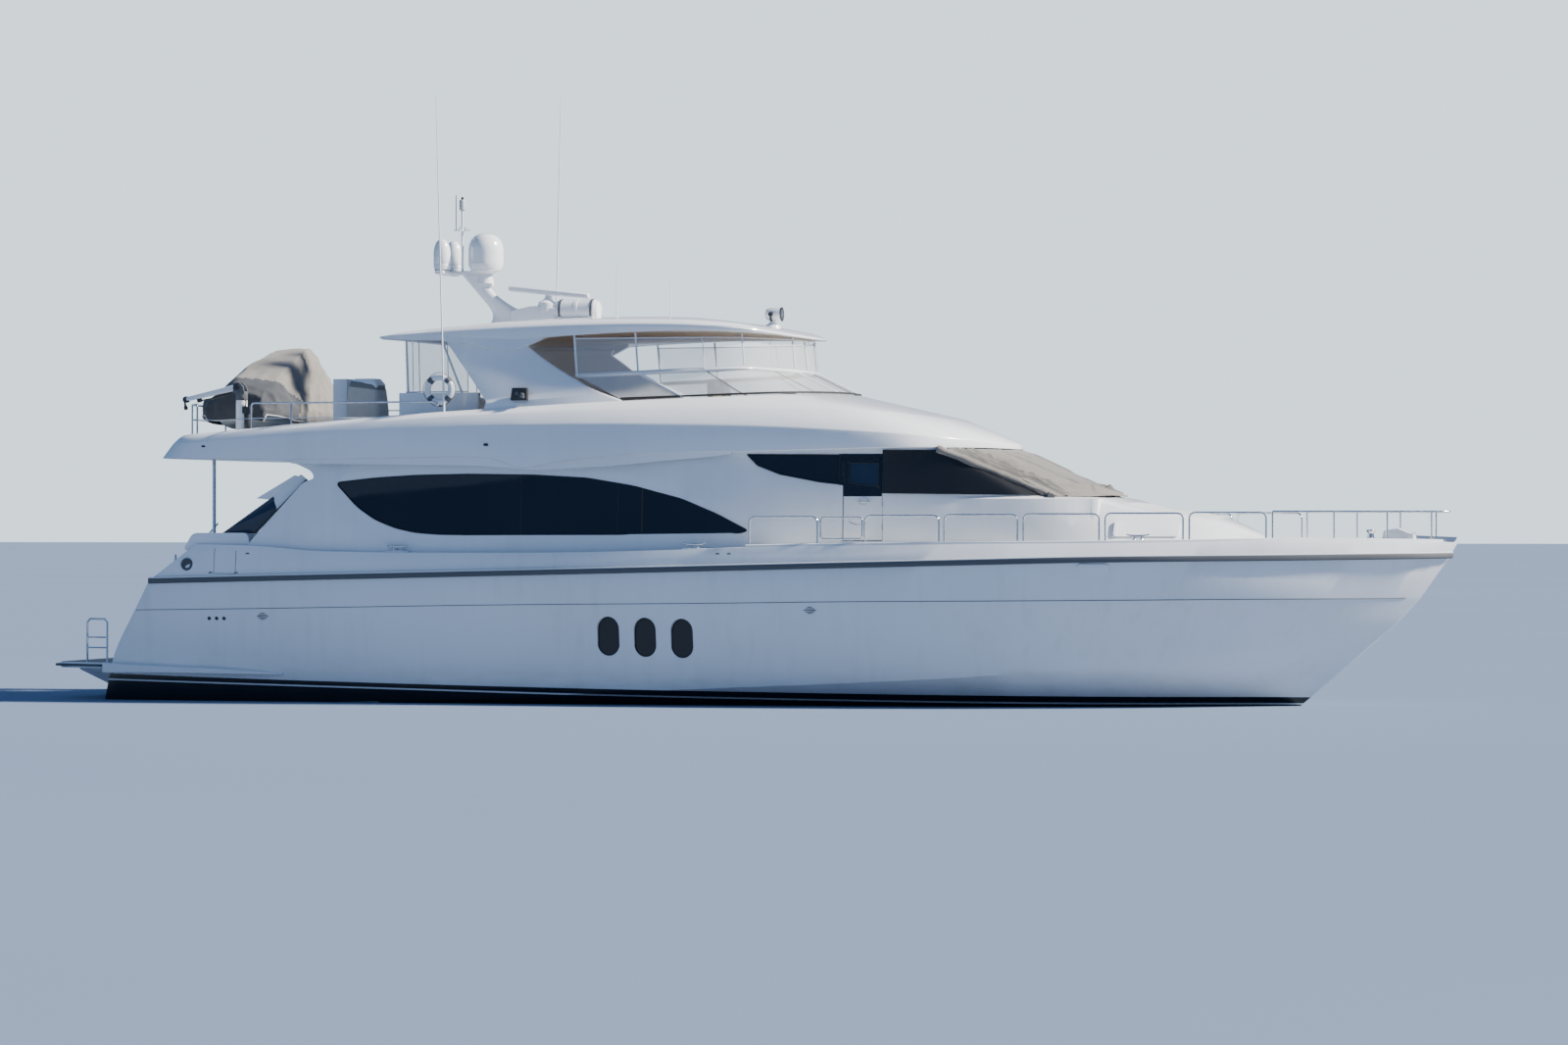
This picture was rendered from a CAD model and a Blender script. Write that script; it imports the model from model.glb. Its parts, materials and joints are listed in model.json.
"""Motor yacht with a flybridge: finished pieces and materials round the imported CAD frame.

Metres. +X points to the bow, +Y to port and +Z up. The water's level is z = 0.
Tables of the hull, the flybridge and the hardtop hold millimetres, as the CAD source does.
"""
import json
import math

import bmesh
import bpy
import numpy as np
from mathutils.bvhtree import BVHTree
from mathutils import Matrix, Vector
from mathutils.noise import noise as noise_at


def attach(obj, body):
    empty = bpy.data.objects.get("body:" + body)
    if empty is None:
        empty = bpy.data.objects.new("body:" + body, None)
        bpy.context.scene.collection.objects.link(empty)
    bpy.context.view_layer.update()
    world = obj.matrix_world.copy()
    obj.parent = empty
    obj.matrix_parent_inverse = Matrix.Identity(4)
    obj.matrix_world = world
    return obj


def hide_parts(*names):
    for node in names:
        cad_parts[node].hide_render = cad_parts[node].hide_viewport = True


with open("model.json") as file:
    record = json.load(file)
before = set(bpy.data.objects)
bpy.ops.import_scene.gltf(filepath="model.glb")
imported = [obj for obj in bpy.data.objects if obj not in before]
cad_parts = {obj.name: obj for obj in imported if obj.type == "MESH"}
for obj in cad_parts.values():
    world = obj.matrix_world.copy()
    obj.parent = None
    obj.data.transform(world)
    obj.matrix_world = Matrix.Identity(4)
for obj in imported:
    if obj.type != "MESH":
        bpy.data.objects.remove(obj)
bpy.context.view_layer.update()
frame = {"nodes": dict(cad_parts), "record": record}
MM = 0.001
STARBOARD, PORT = -1, 1
HANDS = {"starboard": STARBOARD, "port": PORT}


# Camera, light and floor
def make_camera():
    camera = bpy.data.objects.new("camera", bpy.data.cameras.new("camera"))
    bpy.context.scene.collection.objects.link(camera)
    camera.location = (23.43, -81.71, 3.05)
    camera.rotation_euler = Vector((-0.2756, 0.9613, 0)).to_track_quat("-Z", "Y").to_euler()
    camera.data.lens = 112.5
    camera.data.sensor_width = 36
    camera.data.shift_x = 0.016
    camera.data.shift_y = 0.00125
    camera.data.clip_end = 900
    bpy.context.scene.camera = camera


def make_sun(name, towards, strength, angle, color):
    light = bpy.data.lights.new(name, "SUN")
    light.energy = strength
    light.angle = math.radians(angle)
    light.color = color
    lamp = bpy.data.objects.new(name, light)
    lamp.rotation_euler = Vector(towards).to_track_quat("Z", "Y").to_euler()
    bpy.context.scene.collection.objects.link(lamp)


def make_studio():
    """A soft key from the right, a weak fill from behind the camera and a pale background."""
    make_sun("key", (0.82, 0.13, 0.56), 12.5, 5, (1.0, 0.95, 0.86))
    make_sun("fill", (-0.5, -0.8, 0.5), 0.2, 50, (0.6, 0.78, 1.0))
    world = bpy.data.worlds.new("studio")
    bpy.context.scene.world = world
    world.use_nodes = True
    tree = world.node_tree
    light = tree.nodes["Background"]
    light.inputs["Color"].default_value = (0.25, 0.48, 1.0, 1)
    light.inputs["Strength"].default_value = 0.42
    seen = tree.nodes.new("ShaderNodeBackground")
    seen.inputs["Color"].default_value = (0.76, 0.90, 1.0, 1)
    seen.inputs["Strength"].default_value = 1.7
    choice = tree.nodes.new("ShaderNodeMixShader")
    tree.links.new(tree.nodes.new("ShaderNodeLightPath").outputs["Is Camera Ray"], choice.inputs[0])
    tree.links.new(light.outputs[0], choice.inputs[1])
    tree.links.new(seen.outputs[0], choice.inputs[2])
    tree.links.new(choice.outputs[0], tree.nodes["World Output"].inputs["Surface"])


# Node helpers
def node(tree, kind, inputs=None, **settings):
    made = tree.nodes.new("ShaderNode" + kind)
    for key, value in settings.items():
        setattr(made, key, value)
    for key, value in (inputs or {}).items():
        if isinstance(value, bpy.types.NodeSocket):
            tree.links.new(value, made.inputs[key])
        else:
            made.inputs[key].default_value = value
    return made


def maths(tree, operation, a, b=0.0, clamp=False):
    return node(tree, "Math", {0: a, 1: b}, operation=operation, use_clamp=clamp).outputs[0]


def ramp(tree, value, low, high):
    """0 below low, 1 above high and straight between them."""
    made = node(tree, "MapRange", {"Value": value, "From Min": low, "From Max": high})
    return made.outputs["Result"]


def stretched(tree, position, scale):
    return node(tree, "VectorMath", {0: position, 1: scale}, operation="MULTIPLY").outputs[0]


def noise(tree, position, scale, detail=3.0, rough=0.5):
    made = node(tree, "TexNoise", {
        "Vector": position, "Scale": scale, "Detail": detail, "Roughness": rough})
    return made.outputs["Fac"]


def mixed(tree, share, a, b):
    made = node(tree, "Mix", data_type="RGBA")
    for index, value in ((0, share), (6, a), (7, b)):
        if isinstance(value, bpy.types.NodeSocket):
            tree.links.new(value, made.inputs[index])
        else:
            made.inputs[index].default_value = value
    return made.outputs[2]


GROUP_SOCKETS = {"vector": "NodeSocketVector", "float": "NodeSocketFloat"}


def shared_effect(name, inputs, outputs):
    """An empty node group with named inputs and outputs: {name: default} and [names]."""
    tree = bpy.data.node_groups.new(name, "ShaderNodeTree")
    tree.interface.new_socket("Position", in_out="INPUT", socket_type=GROUP_SOCKETS["vector"])
    for label, value in inputs.items():
        socket = tree.interface.new_socket(label, in_out="INPUT", socket_type=GROUP_SOCKETS["float"])
        socket.default_value = value
    for label in outputs:
        tree.interface.new_socket(label, in_out="OUTPUT", socket_type=GROUP_SOCKETS["float"])
    start = tree.nodes.new("NodeGroupInput").outputs
    end = tree.nodes.new("NodeGroupOutput").inputs
    return tree, start, end


def make_sea_air():
    """Streaks that run down a side, broad patches and fine salt."""
    tree, start, end = shared_effect("sea_air", {"Streaks": 0.5, "Patches": 0.5}, ["Stain", "Dull"])
    spot = start["Position"]
    lines = ramp(tree, noise(tree, stretched(tree, spot, (5.0, 5.0, 0.35)), 1.0, 4.0), 0.52, 0.8)
    broad = noise(tree, spot, 0.6, 3.0)
    salt = noise(tree, spot, 38.0, 2.0)
    patches = maths(tree, "MULTIPLY", ramp(tree, broad, 0.35, 0.75), start["Patches"])
    streaks = maths(tree, "MULTIPLY", maths(tree, "MULTIPLY", lines, broad), start["Streaks"])
    tree.links.new(maths(tree, "ADD", streaks, maths(tree, "MULTIPLY", patches, 0.4), True), end["Stain"])
    dull = maths(tree, "ADD", maths(tree, "MULTIPLY", patches, 0.6), maths(tree, "MULTIPLY", salt, 0.3))
    tree.links.new(dull, end["Dull"])
    return tree


def make_moulding():
    """The long waves and the fine print of a moulded laminate."""
    tree, start, end = shared_effect("moulding", {"Wave": 1.0, "Print": 1.0}, ["Height"])
    spot = start["Position"]
    wave = maths(tree, "MULTIPLY", noise(tree, spot, 1.1, 1.0), start["Wave"])
    print_through = maths(tree, "MULTIPLY", noise(tree, spot, 55.0, 2.0), start["Print"])
    tree.links.new(maths(tree, "ADD", wave, maths(tree, "MULTIPLY", print_through, 0.02)), end["Height"])
    return tree


def make_waterline():
    """Bands of a boot stripe whose height changes along the hull."""
    tree, start, end = shared_effect("waterline", {"Line": 0.025}, ["Boot", "Stripe", "Scum"])
    split = node(tree, "SeparateXYZ", {0: start["Position"]})
    along = ramp(tree, split.outputs["X"], -12.0, 12.0)

    def height_of(marks):
        curve = node(tree, "FloatCurve", {"Factor": 1.0, "Value": along})
        points = curve.mapping.curves[0].points
        while len(points) < len(marks):
            points.new(0.5, 0.5)
        for point, (x, z) in zip(points, marks):
            point.location = ((x + 12.0) / 24.0, z)
        curve.mapping.update()
        return curve.outputs["Value"]

    top = height_of([(-12.0, 0.49), (-6.9, 0.36), (2.3, 0.22), (12.0, 0.13)])
    white = height_of([(-12.0, 0.38), (-6.9, 0.27), (2.3, 0.10), (12.0, 0.02)])
    height = split.outputs["Z"]
    over = maths(tree, "SUBTRACT", height, top)
    boot = ramp(tree, over, 0.004, -0.004)
    off = maths(tree, "ABSOLUTE", maths(tree, "SUBTRACT", height, white))
    half = maths(tree, "MULTIPLY", start["Line"], 0.5)
    stripe = ramp(tree, maths(tree, "SUBTRACT", off, half), 0.004, -0.004)
    uneven = noise(tree, stretched(tree, start["Position"], (1.4, 1.4, 5.0)), 1.0, 4.0)
    scum = maths(tree, "MULTIPLY", ramp(tree, over, 0.5, 0.0), ramp(tree, uneven, 0.4, 0.8))
    for value, label in ((boot, "Boot"), (stripe, "Stripe"), (scum, "Scum")):
        tree.links.new(value, end[label])
    return tree


def make_weave():
    """Crossed threads of a woven cloth, with the light and dark of its yarns."""
    tree, start, end = shared_effect("weave", {"Threads": 260.0}, ["Height", "Yarn"])
    split = node(tree, "SeparateXYZ", {0: start["Position"]})
    x, y, z = (split.outputs[axis] for axis in "XYZ")
    warp = maths(tree, "SINE", maths(tree, "MULTIPLY", maths(tree, "ADD", x, y), start["Threads"]))
    across = maths(tree, "SUBTRACT", z, maths(tree, "MULTIPLY", maths(tree, "SUBTRACT", x, y), 0.5))
    weft = maths(tree, "SINE", maths(tree, "MULTIPLY", across, start["Threads"]))
    threads = maths(tree, "MAXIMUM", warp, weft)
    yarn = noise(tree, stretched(tree, start["Position"], (40.0, 40.0, 14.0)), 1.0, 2.0)
    tree.links.new(threads, end["Height"])
    tree.links.new(yarn, end["Yarn"])
    return tree


def make_tread():
    """The raised dots of moulded nonskid."""
    tree, start, end = shared_effect("tread", {"Pitch": 0.012}, ["Height", "Dirt"])
    scale = maths(tree, "DIVIDE", 1.0, start["Pitch"])
    dots = node(tree, "TexVoronoi", {"Vector": start["Position"], "Scale": scale, "Randomness": 0.15})
    tree.links.new(ramp(tree, dots.outputs["Distance"], 0.45, 0.2), end["Height"])
    tree.links.new(ramp(tree, noise(tree, start["Position"], 1.7, 5.0), 0.4, 0.75), end["Dirt"])
    return tree


def make_planking():
    """Teak planks along X with dark caulking between them."""
    tree, start, end = shared_effect(
        "planking", {"Plank": 0.055, "Seam": 0.11}, ["Caulk", "Tone", "Grain"])
    split = node(tree, "SeparateXYZ", {0: start["Position"]})
    rows = maths(tree, "DIVIDE", split.outputs["Y"], start["Plank"])
    inside = maths(tree, "FRACT", rows)
    number = maths(tree, "FLOOR", rows)
    caulk = maths(tree, "LESS_THAN", inside, start["Seam"])
    tone = node(tree, "TexWhiteNoise", {"W": number}, noise_dimensions="1D").outputs["Value"]
    grain = noise(tree, stretched(tree, start["Position"], (3.0, 60.0, 60.0)), 1.0, 4.0, 0.6)
    for value, label in ((caulk, "Caulk"), (tone, "Tone"), (grain, "Grain")):
        tree.links.new(value, end[label])
    return tree


def make_brushing():
    """Fine polishing lines with finger marks and water spots."""
    tree, start, end = shared_effect("brushing", {"Lines": 1.0}, ["Height", "Spots"])
    lines = noise(tree, stretched(tree, start["Position"], (20.0, 20.0, 400.0)), 1.0, 2.0)
    tree.links.new(maths(tree, "MULTIPLY", lines, start["Lines"]), end["Height"])
    tree.links.new(ramp(tree, noise(tree, start["Position"], 14.0, 4.0), 0.45, 0.75), end["Spots"])
    return tree


def make_hide():
    """Pores and soft wrinkles of leather and marine vinyl."""
    tree, start, end = shared_effect("hide", {"Pores": 220.0}, ["Height", "Wear"])
    pores = node(tree, "TexVoronoi", {"Vector": start["Position"], "Scale": start["Pores"]})
    folds = noise(tree, start["Position"], 9.0, 3.0)
    height = maths(tree, "ADD", maths(tree, "MULTIPLY", pores.outputs["Distance"], 0.3), folds)
    tree.links.new(height, end["Height"])
    tree.links.new(ramp(tree, noise(tree, start["Position"], 3.0, 4.0), 0.45, 0.8), end["Wear"])
    return tree


EFFECTS = {make.__name__[5:]: make() for make in (
    make_sea_air, make_moulding, make_waterline, make_weave, make_tread, make_planking,
    make_brushing, make_hide)}


class Finish:
    """A Principled material with the helpers that its nodes need."""

    def __init__(self, name, roughness=0.5, **sockets):
        self.material = bpy.data.materials.new(name)
        self.material.use_nodes = True
        self.tree = self.material.node_tree
        self.shader = self.tree.nodes["Principled BSDF"]
        self.spot = node(self.tree, "TexCoord").outputs["Object"]
        self.set(Roughness=roughness, **{key.replace("_", " "): value for key, value in sockets.items()})

    def set(self, **values):
        for key, value in values.items():
            socket = self.shader.inputs[key]
            if isinstance(value, bpy.types.NodeSocket):
                self.tree.links.new(value, socket)
            else:
                socket.default_value = value
        return self

    def effect(self, name, **values):
        made = node(self.tree, "Group", node_tree=EFFECTS[name])
        self.tree.links.new(self.spot, made.inputs["Position"])
        for key, value in values.items():
            made.inputs[key].default_value = value
        return made.outputs

    def color(self, value):
        if isinstance(value, bpy.types.NodeSocket):
            self.tree.links.new(value, self.shader.inputs["Base Color"])
        else:
            self.shader.inputs["Base Color"].default_value = value
        return self

    def rough(self, low, high, mask):
        made = node(self.tree, "MapRange", {"Value": mask, "To Min": low, "To Max": high})
        self.tree.links.new(made.outputs["Result"], self.shader.inputs["Roughness"])
        return self

    def bump(self, height, depth, strength=0.6):
        made = node(self.tree, "Bump", {"Height": height, "Distance": depth, "Strength": strength})
        self.tree.links.new(made.outputs["Normal"], self.shader.inputs["Normal"])
        return self


def rgb(red, green, blue):
    return (red, green, blue, 1.0)


def gelcoat(name, clean, aged, streaks=0.5, wave=1.0):
    made = Finish(name, 0.2, Coat_Weight=0.35)
    air = made.effect("sea_air", Streaks=streaks)
    made.color(mixed(made.tree, air["Stain"], clean, aged))
    made.rough(0.14, 0.36, air["Dull"])
    return made.bump(made.effect("moulding", Wave=wave)["Height"], 0.012, 0.35)


def hull_gelcoat():
    made = gelcoat("hull_gelcoat", rgb(0.83, 0.85, 0.88), rgb(0.62, 0.62, 0.58), 0.45)
    tree = made.tree
    band = made.effect("waterline")
    white = made.shader.inputs["Base Color"].links[0].from_socket
    yellowed = mixed(tree, maths(tree, "MULTIPLY", band["Scum"], 0.35), white, rgb(0.55, 0.5, 0.36))
    worn = noise(tree, made.spot, 2.2, 5.0)
    black = mixed(tree, worn, rgb(0.003, 0.0035, 0.0045), rgb(0.010, 0.011, 0.013))
    booted = mixed(tree, band["Boot"], yellowed, black)
    return made.color(mixed(tree, band["Stripe"], booted, rgb(0.8, 0.81, 0.82)))


def deck_tread(name, clean, dirty, pitch=0.012):
    made = Finish(name, 0.6)
    tread = made.effect("tread", Pitch=pitch)
    tone = maths(made.tree, "MULTIPLY", tread["Dirt"], 0.6)
    made.color(mixed(made.tree, tone, clean, dirty))
    made.rough(0.45, 0.75, tread["Dirt"])
    return made.bump(tread["Height"], 0.0012, 0.5)


def teak(name="teak"):
    made = Finish(name, 0.6)
    tree = made.tree
    plank = made.effect("planking")
    wood = mixed(tree, plank["Tone"], rgb(0.42, 0.29, 0.17), rgb(0.33, 0.22, 0.13))
    silvered = mixed(tree, plank["Grain"], wood, rgb(0.5, 0.42, 0.32))
    made.color(mixed(tree, plank["Caulk"], silvered, rgb(0.015, 0.015, 0.016)))
    made.rough(0.45, 0.75, plank["Grain"])
    sunk = maths(tree, "SUBTRACT", maths(tree, "MULTIPLY", plank["Grain"], 0.3), plank["Caulk"])
    return made.bump(sunk, 0.001)


def metal(name, tint, low, high, lines=1.0):
    made = Finish(name, low, Metallic=1.0)
    polish = made.effect("brushing", Lines=lines)
    made.color(mixed(made.tree, polish["Spots"], tint, tuple(c * 0.72 for c in tint[:3]) + (1.0,)))
    made.rough(low, high, polish["Spots"])
    return made.bump(polish["Height"], 0.0004, 0.25)


def cloth(name, clean, faded, threads=260.0, rough=0.9):
    made = Finish(name, rough, Sheen_Weight=0.15)
    weave = made.effect("weave", Threads=threads)
    sun = noise(made.tree, made.spot, 0.9, 3.0)
    shade = mixed(made.tree, weave["Yarn"], clean, faded)
    made.color(mixed(made.tree, ramp(made.tree, sun, 0.4, 0.75), shade, faded))
    return made.bump(weave["Height"], 0.0008, 0.4)


def hide(name, clean, worn):
    made = Finish(name, 0.45, Coat_Weight=0.1)
    grain = made.effect("hide")
    made.color(mixed(made.tree, grain["Wear"], clean, worn))
    made.rough(0.38, 0.6, grain["Wear"])
    return made.bump(grain["Height"], 0.0015, 0.4)


def moulded(name, clean, scuffed, low=0.35, high=0.6):
    made = Finish(name, low)
    air = made.effect("sea_air", Streaks=0.3)
    made.color(mixed(made.tree, air["Stain"], clean, scuffed))
    made.rough(low, high, air["Dull"])
    return made.bump(made.effect("moulding", Wave=0.2, Print=3.0)["Height"], 0.004, 0.3)


def tinted_glass(name, tint, through, low=0.02, high=0.1):
    made = Finish(name, low, Transmission_Weight=through)
    air = made.effect("sea_air", Streaks=0.6, Patches=0.7)
    made.color(mixed(made.tree, air["Stain"], tint, tuple(c * 1.5 + 0.004 for c in tint[:3]) + (1.0,)))
    made.rough(low, high, air["Dull"])
    return made.bump(made.effect("moulding", Wave=0.6, Print=0.0)["Height"], 0.004, 0.15)


def clear_sheet(name="clear_sheet", cover=0.16):
    made = Finish(name, 0.12, Alpha=cover, Coat_Weight=0.3)
    ripples = noise(made.tree, stretched(made.tree, made.spot, (3.0, 3.0, 1.2)), 1.0, 3.0)
    cloudy = noise(made.tree, made.spot, 1.4, 4.0)
    made.color(mixed(made.tree, cloudy, rgb(0.72, 0.76, 0.8), rgb(0.86, 0.87, 0.86)))
    made.rough(0.06, 0.3, cloudy)
    return made.bump(ripples, 0.02, 0.5)


WHITE = rgb(0.83, 0.85, 0.88)
FINISHES = {
    "white": gelcoat("white_gelcoat", WHITE, rgb(0.66, 0.67, 0.66), 0.35),
    "hull": hull_gelcoat(),
    "white_paint": gelcoat("white_paint", rgb(0.8, 0.82, 0.85), rgb(0.66, 0.67, 0.68), 0.2, 0.3),
    "tread": deck_tread("deck_tread", rgb(0.72, 0.73, 0.72), rgb(0.52, 0.52, 0.49)),
    "teak": teak(),
    "ceiling": moulded("ceiling_lining", rgb(0.62, 0.52, 0.42), rgb(0.5, 0.42, 0.34), 0.6, 0.8),
    "bilge": moulded("bilge_paint", rgb(0.55, 0.57, 0.58), rgb(0.4, 0.4, 0.38), 0.4, 0.7),
    "steel": metal("stainless", rgb(0.72, 0.73, 0.74), 0.1, 0.28),
    "bronze": metal("bronze", rgb(0.5, 0.34, 0.16), 0.22, 0.5),
    "grey_rubber": moulded("grey_fender", rgb(0.085, 0.09, 0.10), rgb(0.15, 0.155, 0.16), 0.5, 0.75),
    "black_rubber": moulded("black_rubber", rgb(0.012, 0.012, 0.013), rgb(0.05, 0.05, 0.05), 0.5, 0.8),
    "black_plastic": moulded("black_plastic", rgb(0.02, 0.021, 0.023), rgb(0.06, 0.06, 0.06)),
    "hypalon": moulded("tube_fabric", rgb(0.5, 0.52, 0.52), rgb(0.4, 0.41, 0.4), 0.5, 0.8),
    "glass": tinted_glass("navy_glass", rgb(0.006, 0.011, 0.02), 0.2),
    "blue_glass": tinted_glass("blue_glass", rgb(0.018, 0.04, 0.075), 0.35),
    "linen": cloth("linen", rgb(0.5, 0.5, 0.48), rgb(0.58, 0.57, 0.55), 420.0),
    "lens": tinted_glass("clear_lens", rgb(0.7, 0.74, 0.78), 0.9),
    "clear": clear_sheet(),
    "pale_glass": clear_sheet("pale_glass", 0.3),
    "black_glass": moulded("black_glass", rgb(0.006, 0.007, 0.01), rgb(0.012, 0.014, 0.018), 0.04, 0.15),
    "cover_linen": cloth("cover_linen", rgb(0.42, 0.39, 0.35), rgb(0.52, 0.49, 0.45)),
    "taupe": cloth("taupe_canvas", rgb(0.165, 0.152, 0.138), rgb(0.25, 0.235, 0.215)),
    "screen_canvas": cloth("screen_canvas", rgb(0.118, 0.110, 0.100), rgb(0.205, 0.192, 0.176)),
    "navy_canvas": cloth("navy_canvas", rgb(0.035, 0.038, 0.046), rgb(0.065, 0.07, 0.08)),
    "mesh": moulded("black_mesh", rgb(0.004, 0.005, 0.008), rgb(0.008, 0.010, 0.014), 0.35, 0.5),
    "cream": hide("cream_hide", rgb(0.72, 0.67, 0.58), rgb(0.6, 0.55, 0.46)),
    "engine_paint": moulded("engine_paint", rgb(0.62, 0.63, 0.64), rgb(0.3, 0.29, 0.27), 0.3, 0.6),
}
FINISHES = {name: made.material for name, made in FINISHES.items()}
BY_SLOT = {
    "gelcoat": "white", "rubber": "grey_rubber", "stainless": "steel", "painted": "white_paint",
    "bronze": "bronze", "glass": "glass", "vinyl": "clear", "canvas": "taupe", "upholstery": "cream",
    "engine": "engine_paint",
}
NODE_SLOTS = {row["node"]: row["material_slot"] for row in frame["record"]["subparts"]}


def dress_nodes():
    for name, piece in frame["nodes"].items():
        piece.data.materials.clear()
        piece.data.materials.append(FINISHES[BY_SLOT[NODE_SLOTS[name]]])


# The floor, level with the water
def make_floor():
    mesh = bpy.data.meshes.new("floor")
    far = 700.0
    mesh.from_pydata([(-far, -far, 0), (far, -far, 0), (far, far, 0), (-far, far, 0)], [], [(0, 1, 2, 3)])
    floor = bpy.data.objects.new("floor", mesh)
    bpy.context.scene.collection.objects.link(floor)
    paper = Finish("studio_floor", 0.75)
    cloudy = noise(paper.tree, paper.spot, 0.05, 2.0)
    paper.color(mixed(paper.tree, cloudy, rgb(0.15, 0.205, 0.31), rgb(0.17, 0.23, 0.335)))
    mesh.materials.append(paper.material)


# Shapes
def vectors(rows, scale=1.0):
    return [Vector(row) * scale for row in rows]


def other_side(points):
    """The same points on the other side of the centre line, in reverse order."""
    return [Vector((p.x, -p.y, p.z)) for p in reversed(points)]


def turns(count, shift=0.0):
    """Evenly spaced angles round one full turn."""
    return [2 * math.pi * (k + shift) / count for k in range(count)]


def fair(points, steps=4):
    """A smooth open line through points, with a number of steps between each two."""
    spots = np.array([tuple(p) for p in points], float)
    if len(spots) < 3:
        return vectors(spots)
    gaps = np.sqrt(np.linalg.norm(np.diff(spots, axis=0), axis=1))
    times = np.concatenate([[0], np.cumsum(np.maximum(gaps, 1e-6))])
    slopes = np.empty_like(spots)
    slopes[1:-1] = (spots[2:] - spots[:-2]) / (times[2:] - times[:-2])[:, None]
    slopes[0] = (spots[1] - spots[0]) / (times[1] - times[0])
    slopes[-1] = (spots[-1] - spots[-2]) / (times[-1] - times[-2])
    line = []
    for i in range(len(spots) - 1):
        span = times[i + 1] - times[i]
        for k in range(steps):
            t = k / steps
            line.append(Vector(
                (2 * t ** 3 - 3 * t ** 2 + 1) * spots[i] + (t ** 3 - 2 * t ** 2 + t) * span * slopes[i]
                + (3 * t ** 2 - 2 * t ** 3) * spots[i + 1] + (t ** 3 - t ** 2) * span * slopes[i + 1]))
    return line + [Vector(spots[-1])]


def rounded(points, radius, steps=5, closed=False):
    """A line with its corners turned in arcs."""
    line = vectors(points)
    count = len(line)
    made = []
    for i, here in enumerate(line):
        if not closed and i in (0, count - 1):
            made.append(here)
            continue
        back, ahead = line[i - 1] - here, line[(i + 1) % count] - here
        reach = min(radius, back.length * 0.49, ahead.length * 0.49)
        start, end = here + back.normalized() * reach, here + ahead.normalized() * reach
        for k in range(steps + 1):
            t = k / steps
            made.append(start * (1 - t) ** 2 + here * 2 * t * (1 - t) + end * t ** 2)
    return made


def arc(centre, radius, start, end, steps, plane=("x", "z")):
    """Points of an arc in the plane of two axes, by angles in degrees."""
    made = []
    for k in range(steps + 1):
        angle = math.radians(start + (end - start) * k / steps)
        point = Vector(centre)
        setattr(point, plane[0], getattr(point, plane[0]) + radius * math.cos(angle))
        setattr(point, plane[1], getattr(point, plane[1]) + radius * math.sin(angle))
        made.append(point)
    return made


def ball_profile(radius, low=0.0, steps=10):
    """Radius and height pairs of a dome above a height."""
    return [(radius * math.cos(a), low + radius * math.sin(a))
            for a in (math.pi / 2 * k / steps for k in range(steps + 1))]


def crease(turns):
    """A row of sharp ridges with slack valleys between them, from 0 to 1."""
    share = turns % 1.0
    return (1 - abs(2 * share - 1)) ** 1.8


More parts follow.
